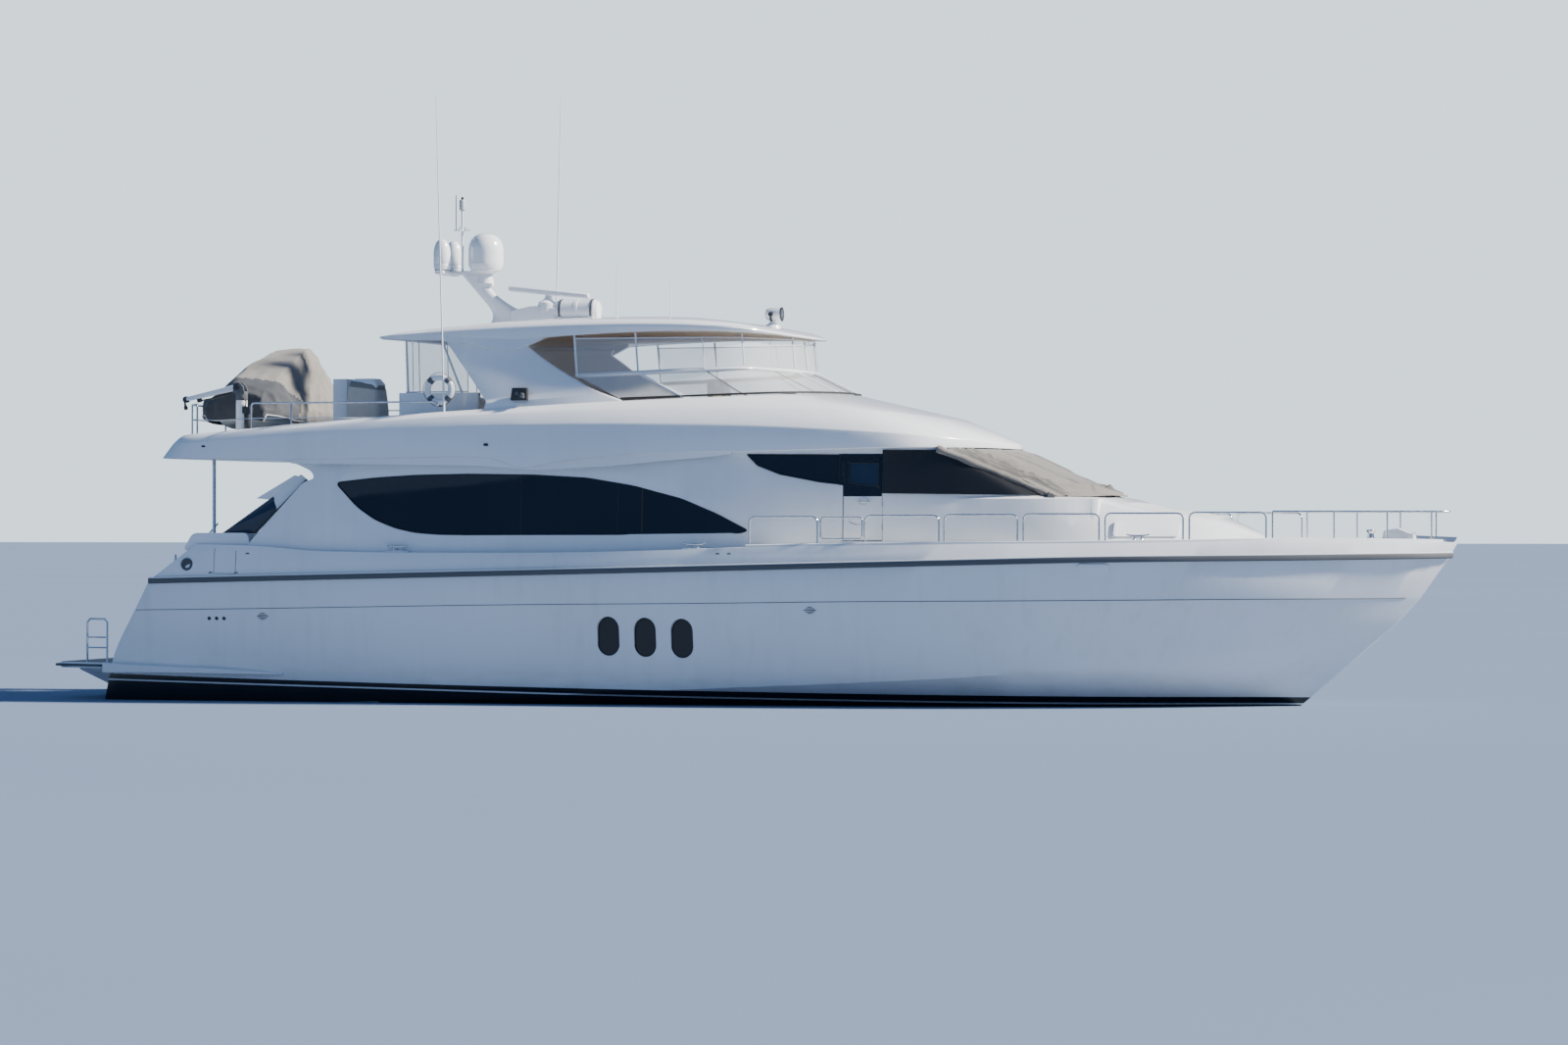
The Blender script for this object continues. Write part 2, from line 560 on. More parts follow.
class Shape:
    """The points and faces of one piece, gathered from several forms."""

    def __init__(self):
        self.points = []
        self.faces = []
        self.paints = []

    def add(self, points, faces, paint=0):
        start = len(self.points)
        self.points += [Vector(p) for p in points]
        self.faces += [[start + i for i in face] for face in faces]
        self.paints += [paint] * len(faces)
        return self

    def grid(self, rows, round_rows=True, round_ends=False, caps=True, paint=0):
        """A skin through rows of points; rows close on themselves, and ends are capped."""
        wide, tall = len(rows[0]), len(rows)
        faces = []
        for r in range(tall if round_ends else tall - 1):
            for i in range(wide if round_rows else wide - 1):
                a, b = r * wide + i, r * wide + (i + 1) % wide
                step = ((r + 1) % tall - r) * wide
                faces.append((a, b, b + step, a + step))
        if caps and round_rows and not round_ends:
            faces.append(tuple(reversed(range(wide))))
            faces.append(tuple(range((tall - 1) * wide, tall * wide)))
        return self.add([p for row in rows for p in row], faces, paint)

    def tube(self, path, radius, sides=12, paint=0, closed=False):
        """A round bar along a path; radius is one number or one for each point."""
        line = vectors(path)
        count = len(line)
        side = None
        rows = []
        for i, here in enumerate(line):
            before = line[i - 1] if closed or i else here
            after = line[(i + 1) % count] if closed or i < count - 1 else here
            along = (after - before).normalized()
            if side is None:
                side = along.orthogonal()
            side = (side - along * side.dot(along)).normalized()
            other = along.cross(side)
            size = radius[i] if isinstance(radius, (list, tuple)) else radius
            rows.append([
                here + side * size * math.cos(2 * math.pi * k / sides)
                + other * size * math.sin(2 * math.pi * k / sides) for k in range(sides)])
        return self.grid(rows, round_ends=closed, paint=paint)

    def turned(self, profile, base, axis=(0, 0, 1), sides=32, paint=0):
        """A turned form from radius and height pairs, standing on a base point."""
        turn = Vector(axis).to_track_quat("Z", "Y").to_matrix()
        rows = [[Vector(base) + turn @ Vector((
            max(r, 1e-5) * math.cos(2 * math.pi * k / sides),
            max(r, 1e-5) * math.sin(2 * math.pi * k / sides), h)) for k in range(sides)]
            for r, h in profile]
        return self.grid(rows, paint=paint)

    def block(self, low, high, paint=0):
        (x0, y0, z0), (x1, y1, z1) = low, high
        points = [(x, y, z) for z in (z0, z1) for x, y in ((x0, y0), (x1, y0), (x1, y1), (x0, y1))]
        faces = [(3, 2, 1, 0), (4, 5, 6, 7), (0, 1, 5, 4), (1, 2, 6, 5), (2, 3, 7, 6), (3, 0, 4, 7)]
        return self.add(points, faces, paint)

    def plate(self, outline, thick, paint=0):
        """An outline of 3-D points in one plane, given a thickness vector."""
        points = vectors(outline)
        return self.grid([points, [p + Vector(thick) for p in points]], paint=paint)

    def moved(self, matrix):
        self.points = [matrix @ p for p in self.points]
        return self

    def mirrored(self):
        """A copy on the other side of the centre line."""
        other = Shape()
        other.points = [Vector((p.x, -p.y, p.z)) for p in self.points]
        other.faces = [list(reversed(face)) for face in self.faces]
        other.paints = list(self.paints)
        return other

    def joined(self, other):
        start = len(self.points)
        self.points += other.points
        self.faces += [[start + i for i in face] for face in other.faces]
        self.paints += other.paints
        return self

    def both_sides(self):
        return self.joined(self.mirrored())

    def object(self, name, finishes):
        mesh = bpy.data.meshes.new(name)
        mesh.from_pydata([tuple(p) for p in self.points], [], self.faces)
        for finish in finishes:
            mesh.materials.append(FINISHES[finish])
        mesh.polygons.foreach_set("material_index", self.paints)
        piece = bpy.data.objects.new(name, mesh)
        bpy.context.scene.collection.objects.link(piece)
        clean_mesh(piece, outwards=True)
        return piece


def clean_mesh(piece, outwards=False, flat=None):
    """Merges doubles; turns faces outwards, or joins faces that lie in one plane, where asked."""
    made = bmesh.new()
    made.from_mesh(piece.data)
    bmesh.ops.remove_doubles(made, verts=made.verts, dist=2e-5)
    if flat:
        bmesh.ops.dissolve_limit(
            made, angle_limit=math.radians(flat), verts=made.verts, edges=made.edges)
    if outwards:
        bmesh.ops.recalc_face_normals(made, faces=made.faces)
    made.to_mesh(piece.data)
    made.free()


def applied(piece):
    """Turns the piece's modifiers into its mesh."""
    graph = bpy.context.evaluated_depsgraph_get()
    finished = bpy.data.meshes.new_from_object(piece.evaluated_get(graph))
    spare = piece.data
    piece.modifiers.clear()
    piece.data = finished
    bpy.data.meshes.remove(spare)
    return piece


def carve(piece, cutters, operation="DIFFERENCE"):
    """Cuts a piece with a list of shapes."""
    for cutter in cutters:
        tool = cutter.object("tool", ["white"])
        tool.data.materials.clear()
        made = piece.modifiers.new("cut", "BOOLEAN")
        made.operation = operation
        made.solver = "MANIFOLD"
        made.object = tool
        applied(piece)
        bpy.data.objects.remove(tool)
    return piece


def bevelled(piece, width, segments=2, angle=32):
    made = piece.modifiers.new("edge", "BEVEL")
    made.width = width
    made.segments = segments
    made.limit_method = "ANGLE"
    made.angle_limit = math.radians(angle)
    made.use_clamp_overlap = True
    made.miter_outer = "MITER_ARC"
    return applied(piece)


def subdivided(piece, levels):
    made = piece.modifiers.new("round", "SUBSURF")
    made.levels = made.render_levels = levels
    return applied(piece)


def painted(piece, finishes, choose):
    """Gives each face the finish that choose(centre, normal) names, or leaves it where that is None."""
    mesh = piece.data
    names = list(finishes)
    mesh.materials.clear()
    for finish in names:
        mesh.materials.append(FINISHES[finish])
    for face in mesh.polygons:
        named = choose(face.center, face.normal)
        if named is not None:
            face.material_index = names.index(named)
    return piece


def settle(piece, slot, body="yacht", replaces=(), angle=30):
    """Shades the piece, and hands it to the frame."""
    piece.data.shade_smooth()
    piece.data.set_sharp_from_angle(angle=math.radians(angle))
    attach(piece, body)
    if replaces:
        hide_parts(*replaces)
    return piece


def make(name, shape, finishes, slot, body="yacht", replaces=(), bevel=None, round_levels=0, angle=30):
    """One finished piece from a shape."""
    piece = shape.object(name, [finishes] if isinstance(finishes, str) else finishes)
    if bevel:
        bevelled(piece, *bevel)
    if round_levels:
        subdivided(piece, round_levels)
    return settle(piece, slot, body, replaces, angle)


def adopt(node_name, finishes=None, choose=None, bevel=None, body="yacht", angle=30, flat=0.6):
    """A merged copy of a CAD node with softened edges and its finishes, in the node's place."""
    source = frame["nodes"][node_name]
    piece = bpy.data.objects.new(f"{node_name}_finished", source.data.copy())
    bpy.context.scene.collection.objects.link(piece)
    clean_mesh(piece, flat=flat)
    if bevel:
        bevelled(piece, *bevel)
    names = finishes or [BY_SLOT[NODE_SLOTS[node_name]]]
    painted(piece, names, choose or (lambda centre, normal: names[0]))
    return settle(piece, NODE_SLOTS[node_name], body, [node_name], angle)


# Hull lines, from the spray rail up to the bulwark's edge: x, half breadth and height in millimetres
HULL_LINES = {
    "spray": [
        (-11050, 1500, -330), (-6000, 1550, -560), (0, 1500, -620), (4000, 1620, -260),
        (6950, 1260, 170), (8340, 760, 400), (9500, 300, 600), (10300, 25, 700)],
    "chine": [
        (-11100, 2720, -120), (-8000, 2830, -40), (-4000, 2890, 100), (-600, 2870, 270),
        (3430, 2620, 460), (5950, 2120, 630), (8290, 1330, 830), (9460, 800, 950), (10700, 25, 1060)],
    "side": [
        (-10850, 2830, 800), (-8000, 2960, 820), (-4000, 3020, 900), (0, 3000, 980),
        (3500, 2800, 1080), (6000, 2350, 1180), (8300, 1630, 1300), (9700, 1000, 1370),
        (11120, 25, 1420)],
    "knuckle": [
        (-10440, 2890, 1570), (-8000, 3030, 1610), (-3800, 3120, 1690), (0, 3120, 1735),
        (2400, 3060, 1770), (5000, 2830, 1790), (7000, 2420, 1805), (8400, 1970, 1815),
        (10000, 1180, 1820), (11500, 25, 1825)],
    "rail": [
        (-10160, 2930, 2080), (-6800, 3120, 2160), (-2100, 3200, 2270), (2400, 3150, 2380),
        (4500, 3010, 2430), (6200, 2780, 2470), (7700, 2420, 2490), (9300, 1800, 2505),
        (10600, 1120, 2520), (11500, 520, 2530), (12000, 40, 2540)],
    "edge": [
        (-9300, 2900, 2710), (-8150, 2990, 2680), (-6900, 3040, 2590), (-3300, 3110, 2570),
        (-640, 3120, 2620), (730, 3090, 2670), (3930, 2960, 2720), (6570, 2600, 2740),
        (8000, 2240, 2760), (9280, 1780, 2780), (10600, 1080, 2775), (11500, 500, 2765),
        (12120, 40, 2750)],
}
KEEL_LINE = [
    (-11050, 0, -680), (-6000, 0, -980), (0, 0, -1180), (4500, 0, -1120),
    (7200, 0, -800), (8700, 0, -360), (9480, 0, 0)]
HULL_STATIONS = 110
PORTHOLES = [(-1.76, 1.17), (-1.115, 1.155), (-0.47, 1.14)]
skins = {}
DECK_CROWN = 0.05
DECK_MARGIN = 0.16
AFT_SOLE = 2.15
BRIDGE_SOLE = 4.45


def line_at(line, share):
    """A line's point at a share of its length along x, in metres."""
    x = line[0][0] + share * (line[-1][0] - line[0][0])
    i = 0
    while i < len(line) - 2 and line[i + 1][0] < x:
        i += 1
    span = line[i + 1][0] - line[i][0]
    t = (x - line[i][0]) / span

    def slope(k, column):
        a, b = line[max(k - 1, 0)], line[min(k + 1, len(line) - 1)]
        return (b[column] - a[column]) / (b[0] - a[0])

    def value(column):
        return ((2 * t ** 3 - 3 * t ** 2 + 1) * line[i][column]
                + (t ** 3 - 2 * t ** 2 + t) * span * slope(i, column)
                + (3 * t ** 2 - 2 * t ** 3) * line[i + 1][column]
                + (t ** 3 - t ** 2) * span * slope(i + 1, column))

    return Vector((x, value(1), value(2))) * MM


def hull_point(name, x):
    """A hull line's point at a place x in metres, on the port side."""
    line = HULL_LINES[name]
    return line_at(line, (x / MM - line[0][0]) / (line[-1][0] - line[0][0]))


def side_height(x, z):
    """Half breadth of the finished hull's side at a place."""
    spot = skins["hull"].ray_cast(Vector((x, 8.0, z)), Vector((0, -1, 0)))[0]
    return spot.y


def hull_ring(share):
    keel = line_at(KEEL_LINE, share)
    spray, chine, side, knuckle, rail, edge = (line_at(line, share) for line in HULL_LINES.values())
    flare = fair([chine, side, knuckle], 4)
    soft = 0.02
    half = [keel, spray] + flare[:-1]
    half.append(knuckle.lerp(flare[-2], soft / max((knuckle - flare[-2]).length, soft)))
    half.append(knuckle.lerp(rail, soft / max((rail - knuckle).length, soft)))
    half += [rail, edge]
    crown = min(DECK_CROWN, edge.y / 20)
    for breadth in (edge.y - min(DECK_MARGIN, edge.y * 0.4), edge.y * 0.66, edge.y * 0.33):
        half.append(Vector((edge.x, breadth, edge.z + crown * (1 - (breadth / edge.y) ** 2))))
    middle = Vector((edge.x, 0, edge.z + crown))
    return half + [middle] + other_side(half[1:])


STEP = {"count": 7, "rise": 0.252, "run": 0.29, "first": -10.95, "inner": 1.65, "outer": 2.56, "foot": 0.64}


def stair_cutter(hand):
    outline = [(-12.5, STEP["foot"])]
    for i in range(STEP["count"]):
        x, z = STEP["first"] + i * STEP["run"], STEP["foot"] + i * STEP["rise"]
        outline += [(x, z), (x, z + STEP["rise"])]
    outline[-1] = (outline[-1][0], 4.0)
    outline.append((-12.5, 4.0))
    y0, y1 = sorted((hand * STEP["inner"], hand * STEP["outer"]))
    return Shape().plate([(x, y0, z) for x, z in outline], (0, y1 - y0, 0))


def porthole_edge(x, z, grow=0.0):
    """A tall oval in x and z round a place on the side."""
    edge = []
    for angle in turns(40):
        lift = 0.125 * (1 if math.sin(angle) >= 0 else -1)
        edge.append((x + (0.195 + grow) * math.cos(angle), z + (0.205 + grow) * math.sin(angle) + lift))
    return edge


def make_hull():
    shape = Shape().grid([hull_ring(i / HULL_STATIONS) for i in range(HULL_STATIONS + 1)])
    piece = shape.object("hull_shell", ["hull"])
    skins["hull"] = BVHTree.FromPolygons([p[:] for p in shape.points], shape.faces)
    boxes = [
        ((-9.36, -2.64, AFT_SOLE), (-7.0, 2.64, 4.0)), ((-7.1, -2.6, AFT_SOLE), (-0.3, 2.6, 4.0)),
        ((-12.5, -0.48, 0.665), (-10.08, 0.48, 1.99)), ((-10.081, -0.33, 0.715), (-8.499, 0.33, 1.925)),
        ((-8.5, -2.2, -0.26), (-4.0, 2.2, 1.75))]
    carve(piece, [stair_cutter(STARBOARD), stair_cutter(PORT)] + [Shape().block(*box) for box in boxes])
    for x, z in PORTHOLES:
        recess = Shape().plate([(a, side_height(x, z) - 0.055, b) for a, b in porthole_edge(x, z)],
                               (0, 0.6, 0))
        carve(piece, [recess, recess.mirrored()])
    bevelled(piece, 0.012, 2, 50)

    def choose(centre, normal):
        if normal.z > 0.9 and centre.x < -7.08 and 0.6 < centre.z < 2.2:
            return "teak" if abs(centre.y) < 2.64 else "hull"
        if normal.z > 0.9 and abs(centre.z - AFT_SOLE) < 0.01:
            return "teak"
        if -8.5 <= centre.x <= -4.0 and centre.z < 1.8 and abs(centre.y) < 2.21 and centre.z > -0.27:
            return "bilge"
        if centre.z > 2.5 and normal.z > 0.97 and centre.x > -7.2:
            edge = hull_point("edge", min(centre.x, 12.0)).y
            return "tread" if abs(centre.y) < edge - min(DECK_MARGIN, edge * 0.4) else "hull"
        return "hull"

    painted(piece, ["hull", "teak", "tread", "bilge"], choose)
    settle(piece, "gelcoat", replaces=["hull_stern", "hull_mid", "hull_bow"], angle=28)


# Flybridge
BRIDGE_RINGS = {
    "soffit": [
        (-10050, 0, 4230), (-10000, 1250, 4230), (-9850, 2500, 4230), (-9250, 2820, 4230),
        (-7700, 2930, 4230), (-5600, 2950, 4230), (-4400, 2940, 4230), (-3800, 2930, 4230),
        (-3300, 2920, 4230), (-2700, 2900, 4240), (-2100, 2870, 4250), (-1000, 2790, 4270),
        (700, 2600, 4300), (2700, 2380, 4335), (3500, 2000, 4335), (4150, 1200, 4335),
        (4400, 600, 4335), (4480, 0, 4335)],
    "lower": [
        (-10200, 0, 4190), (-10170, 1300, 4190), (-10010, 2700, 4190), (-9400, 3000, 4180),
        (-7700, 3110, 4150), (-5600, 3155, 4170), (-4400, 3150, 4180), (-3800, 3145, 4150),
        (-3300, 3140, 3990), (-2700, 3110, 4090), (-2100, 3080, 4155), (-1000, 3000, 4240),
        (700, 2790, 4265), (2800, 2520, 4320), (3640, 2120, 4325), (4300, 1280, 4320),
        (4560, 620, 4315), (4640, 0, 4310)],
    "crease": [
        (-10130, 0, 4430), (-10080, 1290, 4430), (-9800, 2730, 4440), (-9100, 3060, 4480),
        (-7700, 3170, 4560), (-5600, 3200, 4650), (-4400, 3195, 4710), (-3800, 3185, 4730),
        (-3300, 3175, 4740), (-2700, 3150, 4745), (-2100, 3120, 4750), (-1000, 3040, 4745),
        (700, 2840, 4710), (2800, 2560, 4600), (3650, 2150, 4530), (4320, 1300, 4460),
        (4580, 630, 4420), (4660, 0, 4410)],
    "shoulder": [
        (-10070, 0, 4530), (-10030, 1280, 4530), (-9710, 2700, 4535), (-9000, 3010, 4580),
        (-7650, 3125, 4690), (-5600, 3140, 4830), (-4400, 3110, 4900), (-3800, 3085, 4930),
        (-3300, 3060, 4950), (-2700, 3020, 4965), (-2100, 2970, 4980), (-1000, 2860, 5000),
        (600, 2640, 5010), (2200, 2280, 4990), (2900, 1850, 4940), (3400, 1120, 4870),
        (3620, 560, 4830), (3690, 0, 4815)],
    "top": [
        (-10000, 0, 4600), (-9960, 1260, 4600), (-9620, 2650, 4605), (-8900, 2930, 4650),
        (-7600, 3020, 4760), (-5600, 3010, 4915), (-4400, 2965, 4990), (-3800, 2940, 5020),
        (-3300, 2910, 5050), (-2700, 2870, 5085), (-2100, 2820, 5115), (-1000, 2680, 5165),
        (200, 2480, 5210), (1000, 2140, 5245), (1380, 1600, 5258), (1640, 1000, 5264),
        (1750, 500, 5266), (1790, 0, 5266)],
}
COAMING = 0.12


def whole_ring(rows, steps=4):
    """A closed ring from a half outline that starts and ends on the centre line."""
    half = fair(vectors(rows, MM), steps)
    return half + other_side(half[1:-1])


def pulled_in(ring, distance):
    """A closed ring moved inwards in plan."""
    made = []
    count = len(ring)
    for i, here in enumerate(ring):
        along = (ring[(i + 1) % count] - ring[i - 1]).to_2d().normalized()
        made.append(Vector((here.x + along.y * distance, here.y - along.x * distance, here.z)))
    return made


def softened(rings, soft, closed=False):
    """Rings with each inner one split in two near it, so that its edge is drawn crisp but not sharp."""
    made = []
    count = len(rings)
    for i, ring in enumerate(rings):
        if not closed and i in (0, count - 1):
            made.append(ring)
            continue
        for other in (rings[i - 1], rings[(i + 1) % count]):
            made.append([p.lerp(q, min(0.45, soft / max((q - p).length, 1e-4))) for p, q in zip(ring, other)])
    return made


def make_flybridge():
    rings = [whole_ring(rows) for rows in BRIDGE_RINGS.values()]
    inner = pulled_in(rings[-1], COAMING)
    foot = [Vector((p.x, p.y, BRIDGE_SOLE - 0.02)) for p in inner]
    under = [Vector((p.x, p.y, 4.235)) for p in inner]
    shape = Shape().grid(softened(rings + [inner, foot, under], 0.022, True), round_ends=True)
    piece = shape.object("bridge_sides", ["white"])
    settle(piece, "gelcoat", replaces=["flybridge"], angle=40)


# Hardtop
HARDTOP_RINGS = {
    "ceiling": [
        (-6000, 0, 6255), (-5980, 1200, 6250), (-5850, 2100, 6245), (-5200, 2240, 6250),
        (-3900, 2300, 6270), (-2500, 2330, 6300), (-900, 2310, 6320), (200, 2130, 6300),
        (640, 1500, 6280), (860, 750, 6265), (920, 0, 6260)],
    "under": [
        (-6190, 0, 6255), (-6175, 1300, 6250), (-6100, 2240, 6238), (-5200, 2380, 6200),
        (-3900, 2440, 6180), (-2500, 2470, 6265), (-900, 2450, 6330), (300, 2220, 6305),
        (760, 1560, 6265), (980, 780, 6240), (1040, 0, 6230)],
    "edge": [
        (-6230, 0, 6300), (-6215, 1310, 6295), (-6150, 2270, 6288), (-5200, 2420, 6340),
        (-3900, 2490, 6400), (-2500, 2510, 6440), (-900, 2490, 6440), (320, 2250, 6380),
        (790, 1580, 6310), (1010, 790, 6275), (1075, 0, 6265)],
    "brim": [
        (-6080, 0, 6345), (-6050, 1270, 6340), (-5880, 2190, 6340), (-5100, 2310, 6420),
        (-3900, 2360, 6500), (-2500, 2390, 6530), (-900, 2370, 6520), (180, 2140, 6460),
        (620, 1500, 6390), (820, 750, 6360), (880, 0, 6350)],
    "crown": [
        (-5300, 0, 6470), (-5280, 1000, 6465), (-5150, 1500, 6460), (-4700, 1600, 6500),
        (-3900, 1640, 6560), (-2500, 1660, 6600), (-900, 1640, 6590), (-250, 1450, 6540),
        (0, 1000, 6510), (120, 500, 6500), (150, 0, 6495)],
}


def make_hardtop():
    rings = [whole_ring(rows, 5) for rows in HARDTOP_RINGS.values()]
    middle = -2.6
    floor = [[p.lerp(Vector((middle, 0, p.z)), share) for p in rings[0]] for share in (0.999, 0.6)]
    crown = [[p.lerp(Vector((middle, 0, p.z + 0.05)), share) for p in rings[-1]] for share in (0.5, 0.999)]
    shape = Shape().grid(floor + softened(rings, 0.02) + crown)
    piece = shape.object("hardtop_shell", ["white"])
    painted(piece, ["white", "ceiling"], lambda centre, normal: "ceiling"
            if normal.z < -0.9 and centre.x > -5.9 and abs(centre.y) < 2.32 and centre.x < 0.8 else "white")
    settle(piece, "gelcoat", replaces=["hardtop"], angle=40)


# Deckhouse walls: rows of x and half breadth at the deck, the belt, the sill and the roof
HOUSE_ROWS = [
    (-8400, 2900, -8400, 2860, -8400, 2859, -8400, 2800),
    (-5600, 2900, -5600, 2860, -5600, 2859, -5600, 2800),
    (-2800, 2870, -2800, 2830, -2800, 2829, -2800, 2770),
    (-500, 2790, -500, 2740, -500, 2739, -500, 2680),
    (900, 2560, 900, 2515, 900, 2514, 900, 2460),
    (2000, 2340, 2000, 2310, 2000, 2309, 2000, 2255),
    (2830, 2245, 2830, 2230, 2830, 2229, 2830, 2190),
    (4300, 2140, 4300, 2080, 4300, 2050, 3320, 2100),
    (5500, 2020, 5480, 1940, 5100, 1890, 3540, 2030),
    (6200, 1935, 6180, 1700, 5420, 1690, 3640, 1870),
    (6395, 1890, 6385, 1560, 5940, 1200, 3980, 1290),
    (6410, 600, 6400, 600, 6262, 600, 4190, 640),
    (6412, 0, 6402, 0, 6370, 0, 4260, 0),
]
HOUSE_HEIGHTS = [2300, 3480, 3520, 4440]
SALOON_WINDOW = [
    (-6745, 3768), (-6020, 3845), (-5275, 3890), (-4320, 3906), (-3160, 3888), (-2220, 3835),
    (-1400, 3700), (-560, 3480), (30, 3230), (560, 2950), (450, 2905), (-1750, 2880),
    (-4400, 2873), (-4850, 2880), (-5275, 2910), (-5650, 2990), (-6020, 3137), (-6340, 3350),
    (-6560, 3580)]
PILOTHOUSE_WINDOW = [(520, 4230), (700, 4040), (1080, 3890), (1740, 3760), (2060, 3725), (2060, 4220)]
DOOR_LIGHT = [(2225, 3740), (2735, 3680), (2735, 4085), (2225, 4085)]


HOUSE_LINES = [
    fair([(row[level * 2] * MM, row[level * 2 + 1] * MM, height * MM) for row in HOUSE_ROWS], 4)
    for level, height in enumerate(HOUSE_HEIGHTS)]


def house_body(inset, lower, aft=0.0):
    rings = []
    for level, line in enumerate(HOUSE_LINES):
        ring = pulled_in(line + other_side(line[:-1]), inset)
        drop = lower if level == 3 else -lower
        rings.append([p + Vector((-aft if p.x < -8 else 0, 0, drop)) for p in ring])
    return Shape().grid(rings)


def side_prism(outline, hand):
    """A cutter through one side, from an outline in x and z in millimetres."""
    y0, y1 = sorted((hand * 1.5, hand * 4.0))
    return Shape().plate([(x * MM, y0, z * MM) for x, z in outline], (0, y1 - y0, 0))


def rounded_flat(outline, radius):
    points = rounded([(x, 0, z) for x, z in outline], radius / MM, 5, True)
    return [(p.x, p.z) for p in points]


def screen_cutters(shrink):
    sides = [Shape().block((2.89 + shrink, y0, 3.6 + shrink), (7.0, y1, 4.23 - shrink))
             for y0, y1 in ((-4.0, -1.56), (1.56, 4.0))]
    return sides + [Shape().block((3.9, -1.57, 3.6 + shrink), (7.0, 1.57, 4.23 - shrink))]


def pane(name, cutter, replaces):
    """Glass of the deckhouse's own shape, kept where the cutter is."""
    skin = house_body(0.014, 0.0).object(name, ["glass"])
    carve(skin, [house_body(0.026, 0.02, 0.06)])
    carve(skin, [cutter], "INTERSECT")
    return settle(skin, "glass", replaces=replaces, angle=24)


def on_wall(x, z, out=0.0, hand=STARBOARD):
    """A point on the deckhouse's side, moved outwards."""
    if "house" not in skins:
        walls = house_body(0.0, 0.0)
        skins["house"] = BVHTree.FromPolygons([p[:] for p in walls.points], walls.faces)
    spot = skins["house"].ray_cast(Vector((x, 8.0, z)), Vector((0, -1, 0)))[0]
    return Vector((x, hand * (spot.y + out), z))


def wall_line(outline, radius, out, hand, steps=5):
    """A closed rounded outline in x and z, laid on the deckhouse's side."""
    flat = rounded([(x * MM, 0, z * MM) for x, z in outline], radius, steps, True)
    return [on_wall(p.x, p.z, out, hand) for p in flat]


def make_deckhouse():
    piece = house_body(0.0, 0.0).object("deckhouse_walls", ["white"])
    wing = [(-9200, 2000), (-8420, 2600), (-8250, 2810), (-7330, 3780), (-7130, 3845), (-7190, 3965),
            (-7450, 4085), (-7800, 4160), (-9200, 4600)]
    door = [(2120, 2775), (2800, 2775), (2800, 4150), (2120, 4150)]
    cutters = [house_body(0.07, 0.075, 0.8)] + screen_cutters(0.0)
    cutters.append(Shape().plate([(x * MM, -4, z * MM) for x, z in rounded_flat(wing, 0.08)], (0, 8, 0)))
    outlines = [rounded_flat(SALOON_WINDOW, 0.11), rounded_flat(PILOTHOUSE_WINDOW, 0.03), door]
    cutters += [side_prism(outline, hand) for outline in outlines for hand in HANDS.values()]
    cutters.append(Shape().grid([whole_ring(rows) for rows in BRIDGE_RINGS.values()]))
    carve(piece, cutters)
    bevelled(piece, 0.008, 2, 50)
    settle(piece, "gelcoat", replaces=["deckhouse", "pilothouse"], angle=24)
    for side, hand in HANDS.items():
        frames = Shape()
        frames.tube(wall_line(SALOON_WINDOW, 0.11, 0.001, hand), 0.009, 8, closed=True)
        frames.tube(wall_line(PILOTHOUSE_WINDOW, 0.03, 0.001, hand), 0.008, 8, closed=True)
        make(f"window_gaskets_{side}", frames, "black_rubber", "rubber")
        seams = Shape()
        for x, low, high, wide in ((-3.39, 2.89, 3.88, 0.012), (-1.68, 2.9, 3.74, 0.012),
                                   (-1.26, 2.91, 3.66, 0.03)):
            foot, head = on_wall(x, low, -0.013, hand), on_wall(x, high, -0.013, hand)
            across = Vector((wide, 0, 0))
            seams.plate([foot, foot + across, head + across, head], (0, hand * 0.006, 0))
        make(f"window_seams_{side}", seams, "black_rubber", "rubber")
        pane(f"saloon_glass_{side}", side_prism(outlines[0], hand), [f"saloon_window_{side}"])
        pane(f"pilothouse_glass_{side}", side_prism(outlines[1], hand), [f"pilothouse_window_{side}"])
        band = Shape()
        for spots in ([(2.05, 3.715), (2.125, 3.705), (2.125, 4.235), (2.05, 4.235)],
                      [(2.125, 4.148), (2.80, 4.148), (2.80, 4.235), (2.125, 4.235)],
                      [(2.795, 3.60), (2.90, 3.59), (2.90, 4.235), (2.795, 4.235)]):
            band.grid([[on_wall(x, z, out, hand) for x, z in spots] for out in (-0.01, 0.006)])
        make(f"window_band_{side}", band, "glass", "glass")
    starboard, port, fore = screen_cutters(0.001)
    pane("screen_glass_starboard", starboard, [])
    pane("screen_glass_port", port, [])
    pane("screen_glass_fore", fore, ["windshield"])


def gathered_panel(start, end, low, high, folds, depth, steps=6):
    """A hanging panel in soft vertical folds between two places in plan."""
    a, b = Vector(start), Vector(end)
    along = b - a
    across = Vector((-along.y, along.x)).normalized()
    count = folds * steps
    rows = []
    for r in range(13):
        z = low + (high - low) * r / 12
        swing = depth * (0.55 + 0.45 * math.cos(r / 12 * 2.2))
        front, back = [], []
        for i in range(count + 1):
            share = i / count
            wave = math.sin(2 * math.pi * folds * share + 0.5 * math.sin(9 * share + r * 0.21))
            drift = 0.12 / folds * math.sin(4 * math.pi * folds * share)
            p = a + along * (share + drift) + across * wave * swing
            front.append(Vector((p.x, p.y, z)))
            back.append(Vector((p.x + across.x * 0.003, p.y + across.y * 0.003, z)))
        rows.append(front + back[::-1])
    return Shape().grid(rows)


